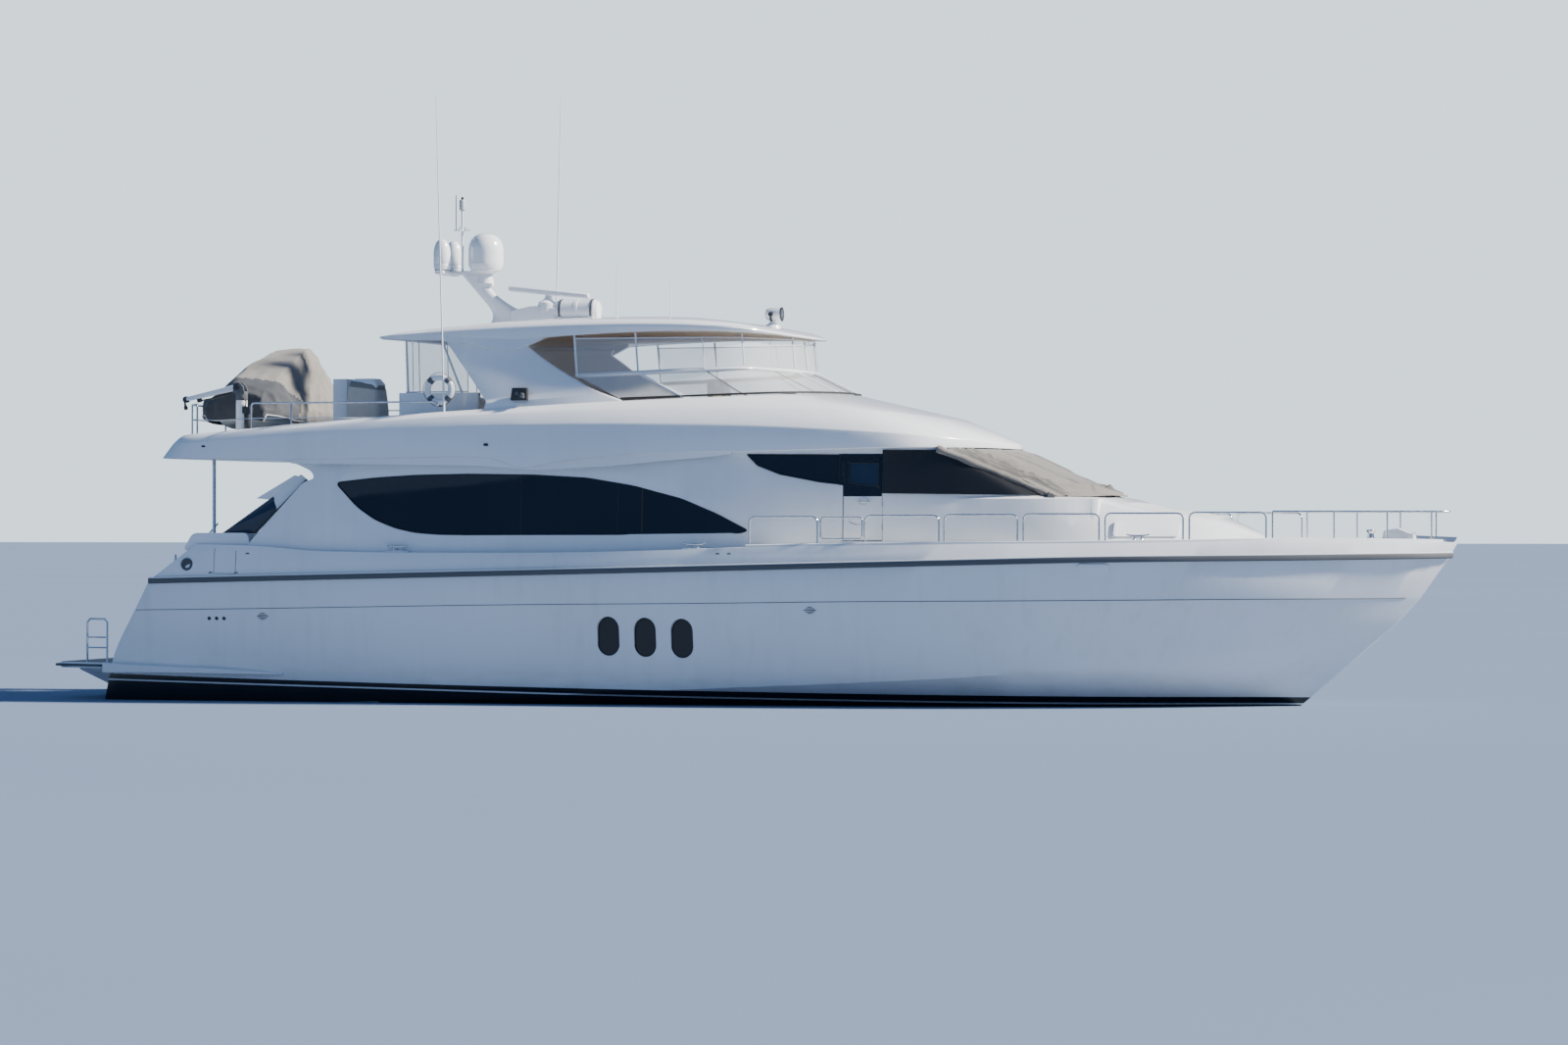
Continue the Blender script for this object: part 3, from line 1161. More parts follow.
def make_curtains():
    for side, hand in HANDS.items():
        for k, (x0, x1, low, high) in enumerate(((-1.24, -0.62, 2.92, 3.56), (-0.58, 0.02, 2.92, 3.24))):
            start, end = on_wall(x0, 3.2, -0.11, hand), on_wall(x1, 3.2, -0.11, hand)
            shape = gathered_panel(start.xy, end.xy, low, high, 7, 0.02)
            piece = make(f"saloon_curtain_{k + 1}_{side}", shape, "linen", "canvas")


def make_doors():
    for side, hand in HANDS.items():
        body = f"{side}_pilothouse_door"

        def choose(centre, normal):
            band = 3.70 - (centre.x - 2.12) * 0.13
            return "glass" if centre.z > band and abs(normal.y) > 0.5 else "white"

        adopt(f"pilothouse_door_{side}", ["white", "glass"], choose, (0.006, 2, 50), body, 24)
        inner = wall_line(DOOR_LIGHT, 0.04, -0.02, hand)
        pane = Shape().grid([inner, [p - Vector((0, hand * 0.01, 0)) for p in inner]])
        make(f"door_pane_{side}", pane, "blue_glass", "glass", body)
        frame_line = Shape().tube(wall_line(DOOR_LIGHT, 0.04, 0.0, hand), 0.007, 8, closed=True)
        make(f"door_gasket_{side}", frame_line, "black_rubber", "rubber", body)
        handle = Shape()
        for x in (2.42, 2.56):
            base = on_wall(x, 3.43, -0.002, hand)
            handle.turned([(0.0, 0), (0.024, 0), (0.022, 0.006), (0.011, 0.01), (0.011, 0.045), (0, 0.048)],
                          base, (0, hand, 0), 20)
        ends = [on_wall(x, 3.43, 0.045, hand) for x in (2.38, 2.49, 2.60)]
        handle.tube(fair(ends, 6), 0.011, 12)
        ring = arc(on_wall(2.49, 3.43, 0.02, hand), 0.075, 0, 352, 40)
        handle.tube(ring, 0.005, 8, closed=True)
        for z in (2.95, 3.35):
            knuckle = on_wall(2.798, z, 0.004, hand)
            handle.tube([knuckle, knuckle + Vector((0, 0, 0.1))], 0.009, 10)
        make(f"door_handle_{side}", handle, "steel", "stainless", body)


# Foredeck trunk: rows of x, half breadth at the foot and the shoulder, height at the shoulder and crown
TRUNK_ROWS = [
    (5000, 2030, 1960, 3430, 3440), (5500, 2003, 1925, 3430, 3445), (6000, 1952, 1745, 3420, 3430),
    (6404, 1910, 1560, 3430, 3490), (6700, 1830, 1440, 3340, 3400), (7100, 1700, 1318, 3277, 3300),
    (7750, 1480, 1120, 3175, 3235), (8200, 1280, 900, 3080, 3140), (8600, 1030, 680, 2915, 2975),
    (8960, 760, 420, 2750, 2810)]


def make_trunk():
    """The foredeck trunk, faired into the deckhouse's front corners, and its locker lids."""
    rings = []
    for x, foot, top, shoulder, crown in TRUNK_ROWS:
        half = [(x, foot, 2600), (x, foot - 30, 2780), (x, top, shoulder), (x, top - 160, crown),
                (x, 0, crown + 25)]
        ring = vectors([tuple(value * MM for value in spot) for spot in half])
        rings.append(ring + other_side(ring[:-1]))
    piece = Shape().grid(rings).object("foredeck_trunk_finished", ["white"])
    bevelled(piece, 0.02, 3, 20)
    painted(piece, ["white", "tread"], lambda centre, normal: "tread"
            if normal.z > 0.96 and abs(centre.y) < 0.95 and 6.8 < centre.x < 8.3 else "white")
    settle(piece, "gelcoat", replaces=["foredeck_trunk"], angle=30)
    for side in HANDS:
        adopt(f"locker_lid_{side}", bevel=(0.006, 2, 40), body=f"{side}_lid")


def make_bridge_deck():
    """The deck's slab, with teak laid on the bridge and tread on the boat deck."""
    adopt("bridge_deck", bevel=(0.012, 2, 50))
    inner = pulled_in(whole_ring(BRIDGE_RINGS["top"]), COAMING + 0.012)
    hatch = Shape().block((-8.46, 1.75, 4.0), (-7.34, 2.45, 5.0))
    for name, finish, x0, x1 in (("bridge_sole", "teak", -5.62, 1.2),
                                 ("boat_deck_sole", "tread", -9.9, -5.75)):
        plan = Shape().grid([[Vector((p.x, p.y, z)) for p in inner] for z in (4.446, 4.456)])
        sole = plan.object(name, [finish])
        carve(sole, [Shape().block((x0, -4, 4.4), (x1, 4, 4.5))], "INTERSECT")
        carve(sole, [hatch])
        settle(sole, "gelcoat")


def make_hull_fittings():
    """The small things on the hull's sides, made to starboard and mirrored."""
    def on_side(x, z, out=0.0):
        return Vector((x, side_height(x, z) + out, z))

    frames, panes, slots = Shape(), Shape(), Shape()
    for x, z in PORTHOLES:
        depth = side_height(x, z) - 0.05
        frames.tube([(a, depth, b) for a, b in porthole_edge(x, z, -0.012)], 0.014, 8, closed=True)
        rim = [Vector((a, depth, b)) for a, b in porthole_edge(x, z, -0.004)]
        panes.grid([rim, [p - Vector((0, 0.02, 0)) for p in rim]])
    for x, z in ((-8.01, 1.47), (1.76, 1.62)):
        for k, half in ((-2, 0.04), (-1, 0.08), (0, 0.11), (1, 0.08), (2, 0.04)):
            p = on_side(x, z + k * 0.026, 0.003)
            slots.tube([p - Vector((half, 0, 0)), p + Vector((half, 0, 0))], 0.006, 8)
    for x in (-9.02, -8.88, -8.74):
        p = on_side(x, 1.43, -0.01)
        slots.turned([(0.034, 0), (0.034, 0.012), (0.024, 0.014), (0, 0.013)], p, (0, 1, 0), 20)
    for x, z in ((0.18, 2.56), (0.38, 2.56), (-8.3, 2.55), (-8.99, 2.22), (-8.5, 2.22)):
        p = on_side(x, z, 0.001)
        slots.tube([p - Vector((0.03, 0, 0)), p + Vector((0.03, 0, 0))], 0.011, 10)
    gate_seam = [(-8.93, 2.64), (-8.93, 2.21), (-8.52, 2.20), (-8.52, 2.60)]
    slots.tube([on_side(x, z, 0.0) for x, z in gate_seam], 0.005, 6)
    under = Vector((0, 0.0005, -0.004))
    knuckle = [hull_point("knuckle", -10.42 + 21.7 * k / 120) + under for k in range(121)]
    slots.tube(knuckle, 0.0055, 6)
    ring = Shape()
    centre = on_side(-9.45, 2.36, 0.004)
    ring.tube([centre + Vector((0.085 * math.cos(a), 0, 0.085 * math.sin(a)))
               for a in turns(32)], 0.026, 12, closed=True)
    ring.turned([(0.075, 0), (0.06, 0.004), (0, 0.002)], centre - Vector((0, 0.004, 0)), (0, 1, 0), 32)
    pill = Shape()
    outline = [(0.2 * (1 if math.cos(a) > 0 else -1) + 0.055 * math.cos(a), 0.055 * math.sin(a))
               for a in turns(28, 0.5)]
    pill.grid([[on_side(6.5 + a * s, 2.345 + b * s, out) for a, b in outline]
               for s, out in ((1, -0.01), (1, 0.02), (0.93, 0.034), (0.6, 0.04))])
    make("porthole_frames", frames.both_sides(), "black_rubber", "rubber")
    make("porthole_panes", panes.both_sides(), "black_glass", "glass")
    make("hull_vents", slots.both_sides(), "black_plastic", "rubber")
    make("mooring_rings", ring.both_sides(), "grey_rubber", "stainless")
    make("side_lamps", pill.both_sides(), "white", "gelcoat")
    rows = []
    for x, y, low, high in ((-11.0, 3.01, 0.47, 0.64), (-10.0, 3.04, 0.48, 0.60), (-8.8, 3.05, 0.47, 0.56),
                            (-7.68, 2.965, 0.46, 0.50)):
        rows.append(vectors([(x, 2.5, low), (x, y - 0.015, low), (x, y, low + 0.012), (x, y, high - 0.02),
                             (x, y - 0.02, high), (x, 2.5, high)]))
    sides = [fair([row[k] for row in rows], 6) for k in range(6)]
    flange = Shape().grid([list(row) for row in zip(*sides)])
    make("spray_flanges", flange.both_sides(), "white", "gelcoat")
    outlets = Shape()
    for y in (0.95, 1.35):
        outlets.turned([(0.13, 0), (0.13, 0.5), (0.115, 0.505), (0.105, 0.49), (0.105, 0.1), (0, 0.1)],
                       (-10.55, y, 0.32), (-1, 0, 0), 28)
    make("exhausts", outlets.both_sides(), "steel", "stainless")


def make_rub_rail():
    """The grey fender round the hull with a white strip on it."""
    count = 150
    rail, strip = [], []
    line = HULL_LINES["rail"]
    for k in range(count + 1):
        p = line_at(line, k / count)
        after = line_at(line, min(k / count + 0.004, 1.0))
        before = line_at(line, max(k / count - 0.004, 0.0))
        along = (after - before).normalized()
        out = Vector((along.y * -1, along.x, 0)).normalized()
        if k == count:
            out = Vector((1, 0.2, 0)).normalized()
        section = ((-0.05, -0.055), (0.022, -0.055), (0.04, -0.04), (0.048, 0), (0.04, 0.035),
                   (0.022, 0.045), (-0.05, 0.045))
        rail.append([p + out * a + Vector((0, 0, b)) for a, b in section])
        strip.append(p + out * 0.03 + Vector((0, 0, 0.045)))
    both = rail + [[Vector((q.x, -q.y, q.z)) for q in row] for row in reversed(rail)]
    make("rub_fender", Shape().grid(both), "grey_rubber", "rubber", replaces=["rub_rail"])
    line = strip + other_side(strip)
    make("rub_strip", Shape().tube(line, 0.012, 8), "white", "gelcoat")


def deck_edge(x, inboard, z=None):
    p = hull_point("edge", x)
    return Vector((x, max(p.y - inboard, 0.07), p.z if z is None else z))


RAIL_SPANS = [(0.7, 1.87), (2.68, 3.93), (4.02, 5.23), (5.33, 6.56), (6.66, 7.9), (8.0, 9.2)]
BOW_POSTS = [9.3, 10.24, 11.05, 11.72]


def rail_foot(shape, foot, radius=0.036):
    profile = [(radius, 0), (radius, 0.006), (radius * 0.62, 0.014), (radius * 0.5, 0.03), (0, 0.03)]
    return shape.turned(profile, foot, sides=20)


def make_rails():
    rails = Shape()
    for x0, x1 in RAIL_SPANS:
        top = 3.17 + x0 * 0.0095
        across = [deck_edge(x0 + (x1 - x0) * t, 0.075, top) for t in (0, 0.25, 0.5, 0.75, 1)]
        feet = [deck_edge(x, 0.075) for x in (x0, x1)]
        rails.tube(rounded([feet[0]] + across + [feet[1]], 0.11, 6), 0.016, 12)
        for foot in feet:
            rail_foot(rails, foot + Vector((0, 0, 0.002)))
    for x in BOW_POSTS:
        foot = deck_edge(x, 0.075)
        rails.tube([foot, deck_edge(x, 0.075, 3.265)], 0.016, 12)
        rail_foot(rails, foot + Vector((0, 0, 0.002)))
    rails.both_sides()
    line = [deck_edge(x, 0.075, 3.265) for x in (9.3, 9.8, 10.24, 10.7, 11.05, 11.4, 11.72, 11.88)]
    bow = line + [Vector((11.985, 0.03, 3.265)), Vector((11.985, -0.03, 3.265))]
    bow += other_side(line)
    rails.tube(rounded(bow, 0.12, 5), 0.016, 12)
    make("side_rails", rails, "steel", "stainless", replaces=["bow_rail"])
    marks = [0.65 + (11.9 - 0.65) * k / 80 for k in range(81)]
    rows = []
    for x in marks:
        p = deck_edge(x, 0.03)
        inner = max(p.y - 0.06, 0.012)
        rows.append([Vector((x, p.y + 0.004, p.z - 0.03)), Vector((x, p.y, p.z + 0.034)),
                     Vector((x, p.y - 0.012, p.z + 0.045)), Vector((x, inner + 0.012, p.z + 0.045)),
                     Vector((x, inner, p.z + 0.034)), Vector((x, inner, p.z - 0.02))])
    rows += [[Vector((q.x, -q.y, q.z)) for q in row] for row in reversed(rows)]
    make("toe_rail", Shape().grid(rows), "white", "gelcoat")
    for side, hand in HANDS.items():
        y = deck_edge(2.2725, 0.075).y * hand
        gate = Shape()
        corners = [(1.925, y, 2.81), (1.925, y, 3.165), (2.64, y, 3.165), (2.64, y, 2.81)]
        gate.tube(rounded(corners, 0.06, 6, True), 0.014, 12, closed=True)
        latch = [(2.40, y, 3.165), (2.42, y - hand * 0.02, 3.09), (2.52, y - hand * 0.03, 3.05),
                 (2.63, y, 3.05)]
        gate.tube(fair(latch, 6), 0.009, 10)
        for z in (2.87, 3.1):
            gate.tube([(1.925, y, z - 0.03), (1.925, y, z + 0.03)], 0.02, 12)
        make(f"gate_{side}", gate, "steel", "stainless", f"{side}_gate", [f"side_gate_{side}"])


def make_cleat(foot, heading):
    """A mooring cleat with two feet and turned-up horns."""
    cleat = Shape()
    for x in (-0.06, 0.06):
        cleat.turned([(0.034, 0), (0.032, 0.008), (0.019, 0.03), (0.018, 0.06), (0, 0.062)], (x, 0, 0),
                     sides=20)
    line = fair([(-0.19, 0, 0.095), (-0.13, 0, 0.073), (0, 0, 0.066), (0.13, 0, 0.073), (0.19, 0, 0.095)], 5)
    sizes = [0.009 + 0.010 * math.sin(math.pi * k / (len(line) - 1)) for k in range(len(line))]
    cleat.tube(line, sizes, 12)
    cleat.block((-0.11, -0.035, -0.003), (0.11, 0.035, 0.006))
    return cleat.moved(Matrix.Translation(foot) @ Matrix.Rotation(heading, 4, "Z"))


def make_deck_fittings():
    cleats = Shape()
    for x, y, z, heading in ((-5.57, 2.965, 2.6, 0.0), (-0.27, 2.99, 2.65, -0.02),
                             (7.15, 2.22, 2.795, -0.25)):
        cleats.joined(make_cleat((x, y, z), heading))
    cleats.joined(make_cleat((-9.75, 2.72, 2.43), 1.2))
    pads = Shape()
    for x, y, z, low in ((-5.57, 2.965, 2.6, 2.4), (-0.27, 2.99, 2.65, 2.5), (7.15, 2.22, 2.795, 2.6)):
        pads.block((x - 0.21, y - 0.05, low), (x + 0.21, y + 0.05, z))
    make("mooring_cleats", cleats.both_sides(), "steel", "stainless", angle=40)
    make("cleat_pads", pads.both_sides(), "white", "gelcoat", bevel=(0.008, 2, 40))
    windlass = Shape()
    profile = [(10.85, 2.70), (11.45, 2.70), (11.42, 2.90), (11.15, 3.0), (10.9, 2.95)]
    windlass.plate([(x, -0.17, z) for x, z in profile], (0, 0.34, 0))
    make("windlass_cover", windlass, "white", "gelcoat", bevel=(0.04, 4, 30))
    gear = Shape()
    drum = [(0.09, 0), (0.09, 0.02), (0.055, 0.05), (0.05, 0.11), (0.08, 0.15), (0.07, 0.17), (0, 0.175)]
    gear.turned(drum, (10.62, 0.28, 2.79))
    roller = [(11.3, 0, 2.84), (11.9, 0, 2.8), (12.05, 0, 2.77)]
    for y in (-0.06, 0.06):
        gear.plate([(11.35, y, 2.78), (12.06, y, 2.74), (12.1, y, 2.84), (11.35, y, 2.87)], (0, 0.008, 0))
    gear.tube([(12.04, -0.062, 2.79), (12.04, 0.068, 2.79)], 0.035, 20)
    gear.tube(roller, 0.022, 12)
    make("windlass", gear, "steel", "stainless")


# Creases of the front canvas: from and to as share of its width and height, then width and depth
COVER_FOLDS = [
    (0.045, 1.0, 0.055, 0.0, 0.0075, 0.020), (0.085, 1.0, 0.095, 0.12, 0.0070, 0.016),
    (0.135, 1.0, 0.125, 0.35, 0.0080, 0.014), (0.10, 0.90, 0.21, 0.74, 0.0080, 0.016),
    (0.12, 0.72, 0.23, 0.60, 0.0080, 0.016), (0.06, 0.52, 0.16, 0.46, 0.0080, 0.013),
    (0.285, 1.0, 0.275, 0.05, 0.0055, 0.010), (0.05, 0.36, 0.30, 0.20, 0.0100, 0.018),
    (0.16, 0.26, 0.46, 0.10, 0.0100, 0.018), (0.10, 0.10, 0.40, 0.03, 0.0090, 0.014),
    (0.36, 0.95, 0.42, 0.55, 0.0110, 0.012)]
RIDGE, DIP = 2.6, 1.1
COVER_LIFT, COVER_LEAST = 0.032, -0.012


def make_windshield_cover():
    """Stretched canvas over the screens: dark mesh at the sides and taupe cloth in front."""
    def pillar(z):
        return 3.72 + (4.30 - z) / 0.79 * 1.86

    def plan(z, out):
        ring = []
        share = (z - 3.52) / 0.92
        for low, high in zip(HOUSE_LINES[2], HOUSE_LINES[3]):
            ring.append(low.lerp(high, share))
        whole = ring + other_side(ring[:-1])
        return pulled_in(whole, -out)

    def resampled(points, count):
        lengths = np.concatenate([[0], np.cumsum([(b - a).length for a, b in zip(points, points[1:])])])
        spots = np.array([tuple(p) for p in points])
        at = np.linspace(0, lengths[-1], count)
        return [Vector([np.interp(s, lengths, spots[:, k]) for k in range(3)]) for s in at]

    def pucker(side, v):
        """How far the cloth dips or stands up at a place: a sharp dip with a soft ridge beside it."""
        depth = 0.0
        for s0, v0, s1, v1, width, deep in COVER_FOLDS:
            run = Vector((s1 - s0, (v1 - v0) * 0.28))
            spot = Vector((side - s0, (v - v0) * 0.28))
            along = spot.dot(run) / run.length_squared
            across = (spot.x * run.y - spot.y * run.x) / run.length / width
            ends = max(0.0, min(1, (along + 0.12) * 5, (1.12 - along) * 5))
            ridge, dip = math.exp(-(across - 1.5) ** 2), math.exp(-(across * 1.3) ** 2)
            depth += deep * ends * (RIDGE * ridge - DIP * dip)
        return depth

    tall, wide = 44, 190
    outer, inner = [], []
    for r in range(tall):
        z = 3.488 + (4.290 - 3.488) * r / (tall - 1)
        line = [p for p in plan(z, 0.034) if p.x > pillar(z)]
        spread = resampled(line, wide)
        row, back = [], []
        for i, p in enumerate(spread):
            u, v = i / (wide - 1), r / (tall - 1)
            side = min(u, 1 - u) * (1 if u < 0.5 else 0.94)
            folds = pucker(side, v) + 0.012 * noise_at(Vector((p.y * 1.3, z * 2.4, 0.9)))
            away = Vector((0.42, 0.0, 0.90)) * (COVER_LIFT + max(COVER_LEAST, folds))
            row.append(p + away)
            back.append(p + away - Vector((0.0015, 0, 0.003)))
        outer.append(row)
        inner.append(back)
    front = Shape().grid([a + b[::-1] for a, b in zip(outer, inner)])
    piece = make("windshield_canvas", front, "screen_canvas", "canvas", replaces=["windshield_cover"],
                 angle=60)
    for side, hand in HANDS.items():
        rows = []
        for r in range(13):
            z = 3.57 + (4.30 - 3.57) * r / 12
            low = 2.80
            line = []
            for k in range(25):
                x = low + (pillar(z) + 0.03 - low) * k / 24
                sag = 0.003 * math.sin(7 * x + 3 * z)
                line.append(on_wall(x, z - 0.012 * (x - low) * (1 - r / 12), 0.034 + sag, hand))
            rows.append(line + [p - Vector((0, hand * 0.003, 0)) for p in reversed(line)])
        screen = make(f"side_mesh_{side}", Shape().grid(rows), "mesh", "canvas", angle=60)
        roll = []
        for k in range(30):
            z = 3.50 + 0.81 * k / 29
            p = on_wall(pillar(z), z, 0.04, hand)
            roll.append(p + Vector((0.012 * math.sin(k * 0.9), 0, 0.012)))
        sizes = [0.060 + 0.010 * math.sin(k * 0.7) + 0.004 * math.sin(k * 2.3) for k in range(30)]
        make(f"cover_roll_{side}", Shape().tube(roll, sizes, 14), "screen_canvas", "canvas",
                          angle=70)
        snaps = Shape()
        for x in (2.9, 3.39, 4.0, 4.6, 5.1, 5.5):
            spot = on_wall(x, 3.57 - 0.01 * (x - 2.9), 0.02, hand)
            snaps.turned([(0.014, 0), (0.013, 0.006), (0, 0.009)], spot, (0, hand, 0), 16)
        for z in (3.75, 3.95, 4.15):
            snaps.turned([(0.012, 0), (0.011, 0.006), (0, 0.008)], on_wall(2.88, z, 0.02, hand),
                         (0, hand, 0), 16)
        make(f"cover_snaps_{side}", snaps, "white", "painted")


# The bridge
SCREEN_FEET = vectors([
    (-1.66, -2.69, 5.17), (-0.62, -2.545, 5.205), (0.40, -2.35, 5.245), (1.03, -2.01, 5.27),
    (1.42, -1.40, 5.285), (1.64, -0.70, 5.29), (1.70, 0, 5.29)])
SCREEN_HEADS = vectors([
    (-2.52, -2.44, 5.575), (-1.44, -2.40, 5.62), (-0.30, -2.32, 5.665), (0.33, -2.02, 5.69),
    (0.64, -1.42, 5.68), (0.86, -0.72, 5.67), (0.93, 0, 5.665)])
SCREEN_POSTS = (0, 1, 3, 5, 7, 9, 11, 12)


def whole_line(half):
    """Points from starboard round to port."""
    return half + other_side(half[:-1])


def layer(rows, thick):
    """A thin skin through rows of points, given a thickness along its own face."""
    spots = np.array([[tuple(p) for p in row] for row in rows])
    across = np.gradient(spots, axis=1)
    along = np.gradient(spots, axis=0)
    out = np.cross(across, along)
    out /= np.maximum(np.linalg.norm(out, axis=2, keepdims=True), 1e-9)
    back = spots + out * thick
    return Shape().grid([
        vectors(front) + vectors(rear[::-1]) for front, rear in zip(spots, back)])


def make_arches():
    face = [(-4.9, -2.4, 6.19), (-3.35, -2.4, 6.19), (-3.42, -2.42, 6.09), (-3.0, -2.49, 5.8),
            (-2.62, -2.56, 5.58), (-2.15, -2.68, 5.34), (-1.63, -2.76, 5.15), (-1.5, -2.79, 4.9),
            (-4.08, -2.925, 4.9), (-4.0, -2.9, 5.13)]
    fore = fair(vectors(face[2:7]), 4)
    outline = [Vector(face[0]), Vector(face[1])] + fore + [Vector(p) for p in face[7:9]]
    outline += fair(vectors([face[9], (-4.13, -2.84, 5.3), (-4.45, -2.66, 5.68), (-4.9, -2.4, 6.19)]), 5)[:-1]
    for side, hand in HANDS.items():
        shape = Shape()
        points = [Vector((p.x, -p.y * hand, p.z)) for p in outline]
        shape.grid([points, [p - Vector((0, hand * 0.13, 0)) for p in points]])
        make(f"arch_wall_{side}", shape, "white", "gelcoat", replaces=[f"arch_{side}"], bevel=(0.03, 3, 40))
    buoy = Shape()
    centre = Vector((-4.84, -2.86, 5.35))
    buoy.tube([centre + Vector((0.215 * math.cos(a), 0, 0.215 * math.sin(a)))
               for a in turns(48)], 0.055, 16, closed=True)
    make("lifebuoy", buoy, "white_paint", "painted")
    bands = Shape()
    for middle in (45, 135, 225, 315):
        bands.tube(arc(centre, 0.215, middle - 11, middle + 11, 6), 0.0575, 16)
    for k in range(4):
        ends = [45 + 90 * k + 90 * t / 8 for t in range(9)]
        rope = []
        for t, a in enumerate(ends):
            reach = 0.272 + 0.02 * math.sin(math.pi * t / 8)
            across, up = reach * math.cos(math.radians(a)), reach * math.sin(math.radians(a))
            rope.append(centre + Vector((across, -0.02, up)))
        bands.tube(rope, 0.006, 8)
    for z in (5.08, 5.56):
        bands.tube([(-4.84, -2.78, z), (-4.84, -2.87, z - 0.01), (-4.84, -2.9, z + 0.02)], 0.009, 8)
    make("lifebuoy_bands", bands, "grey_rubber", "rubber")
    boxes, lamps = Shape(), Shape()
    for hand in HANDS.values():
        boxes.plate([(-3.55, hand * 2.83, 5.155), (-3.25, hand * 2.83, 5.155), (-3.25, hand * 2.83, 5.37),
                     (-3.52, hand * 2.83, 5.37)], (0, hand * 0.1, 0))
        lamps.turned([(0.045, 0), (0.045, 0.07), (0.03, 0.09), (0, 0.095)], (-3.33, hand * 2.95, 5.19),
                     sides=20)
        lamps.turned([(0.03, 0), (0.03, 0.02), (0, 0.024)], (-3.43, hand * 2.925, 5.27), (0, hand, 0), 20)
    make("lamp_boxes", boxes, "black_plastic", "rubber", bevel=(0.012, 2, 40))
    make("lamp_glasses", lamps, "lens", "glass")


def make_bridge_screen():
    feet, heads = whole_line(fair(SCREEN_FEET, 5)), whole_line(fair(SCREEN_HEADS, 5))
    rows = [[foot.lerp(head, share) for foot, head in zip(feet, heads)]
            for share in (0.02, 0.2, 0.4, 0.6, 0.8, 0.95)]
    make("bridge_screen", layer(rows, 0.012), "pale_glass", "glass", replaces=["bridge_windscreen"])
    frame_line = Shape()
    frame_line.tube(heads, 0.040, 14)
    marks = whole_line(SCREEN_HEADS)
    uprights = [marks[i] for i in SCREEN_POSTS]
    for head in uprights:
        top = Vector((head.x - 0.06, head.y * 0.985, 6.3))
        frame_line.tube([head, top], 0.017, 12)
        socket = [(0.028, 0), (0.028, 0.03), (0.02, 0.036), (0, 0.036)]
        frame_line.turned(socket, head - Vector((0, 0, 0.004)), sides=16)
    foot_marks = whole_line(SCREEN_FEET)
    for i in (1, 5, 7, 11):
        frame_line.tube([foot_marks[i], marks[i]], 0.022, 12)
    make("bridge_bars", frame_line, "white_paint", "painted", replaces=["bridge_frame"])
    seams = Shape()
    for i in (1, 2, 4, 6, 8, 10, 11):
        foot, head = foot_marks[i], marks[i]
        outward = Vector((foot.x + 3.0, foot.y, 0)).normalized() * 0.006
        seams.tube([foot.lerp(head, 0.04) + outward, foot.lerp(head, 0.93) + outward], 0.009, 8)
    base = [p + Vector((0, 0, 0.012)) for p in feet]
    seams.tube(base, 0.018, 10)
    make("bridge_screen_seams", seams, "black_rubber", "rubber")


def curtain_sheet(lower, upper, bulge, phase, tall=9):
    """Clear sheet between a lower and an upper line, pulled tight with slight waves."""
    rows = []
    for r in range(tall):
        t = r / (tall - 1)
        row = []
        for i, (a, b) in enumerate(zip(lower, upper)):
            p = a.lerp(b, t)
            out = Vector((p.x + 3.2, p.y, 0)).normalized()
            wave = 0.35 * noise_at(Vector((p.x * 2.3 + phase, p.y * 2.3, t * 1.6)))
            wave += 0.65 * math.sin(math.pi * t) * math.sin(i * 0.9 + phase) * 0.4
            row.append(p + out * bulge * wave * math.sin(math.pi * min(1, 0.15 + t * 0.8)))
        rows.append(row)
    return layer(rows, 0.0025)


def make_bridge_curtains():
    marks = whole_line(SCREEN_HEADS)
    lows = [Vector((p.x + 0.032, p.y * 1.016, p.z - 0.01)) for p in marks]
    highs = [Vector((p.x - 0.04, p.y * 0.988, 6.225)) for p in marks]
    low_line, high_line = fair(lows, 6), fair(highs, 6)
    piece = make("front_curtain_sheet", curtain_sheet(low_line, high_line, 0.02, 0.7), "clear", "vinyl",
                 replaces=["front_curtain"], angle=60)
    length = sum((b - a).length for a, b in zip(low_line, low_line[1:]))
    hems = Shape()
    for line, lift in ((low_line, 0.012), (high_line, -0.012)):
        hems.tube([p + Vector((0, 0, lift)) for p in line], 0.008, 8)
    for i in (0, 2, 4, 6, 8, 10, 12):
        hems.tube([lows[i], highs[i]], 0.007, 8)
    make("front_curtain_hems", hems, "white_paint", "painted")
    plan = [(-4.5, -2.37), (-5.0, -2.365), (-5.5, -2.36), (-5.67, -2.25), (-5.695, -1.5), (-5.7, -0.75),
            (-5.7, 0)]
    lower = whole_line(vectors([(x, y, 5.315) for x, y in plan]))
    upper = whole_line(vectors([(x - 0.02, y * 0.995, 6.25) for x, y in plan]))
    tops = fair(upper, 4)
    bottoms = fair(lower, 4)
    piece = make("aft_curtain_sheet", curtain_sheet(bottoms, tops, 0.03, 2.1, 11), "clear", "vinyl",
                 replaces=["aft_curtain"], angle=60)
    length = sum((b - a).length for a, b in zip(bottoms, bottoms[1:]))
    hems = Shape()
    for line, lift in ((bottoms, 0.012), (tops, -0.012)):
        hems.tube([p + Vector((0, 0, lift)) for p in line], 0.01, 8)
    for i in range(0, len(lower), 2):
        hems.tube([lower[i], upper[i]], 0.009, 8)
    make("aft_curtain_hems", hems, "white_paint", "painted")
    posts = Shape()
    for hand in HANDS.values():
        posts.tube([(-4.62, hand * 2.33, 5.3), (-5.0, hand * 2.33, 6.24)], 0.02, 12)
        posts.tube([(-5.62, hand * 2.28, 5.3), (-5.66, hand * 2.28, 6.3)], 0.02, 12)
    make("aft_curtain_posts", posts, "white_paint", "painted")


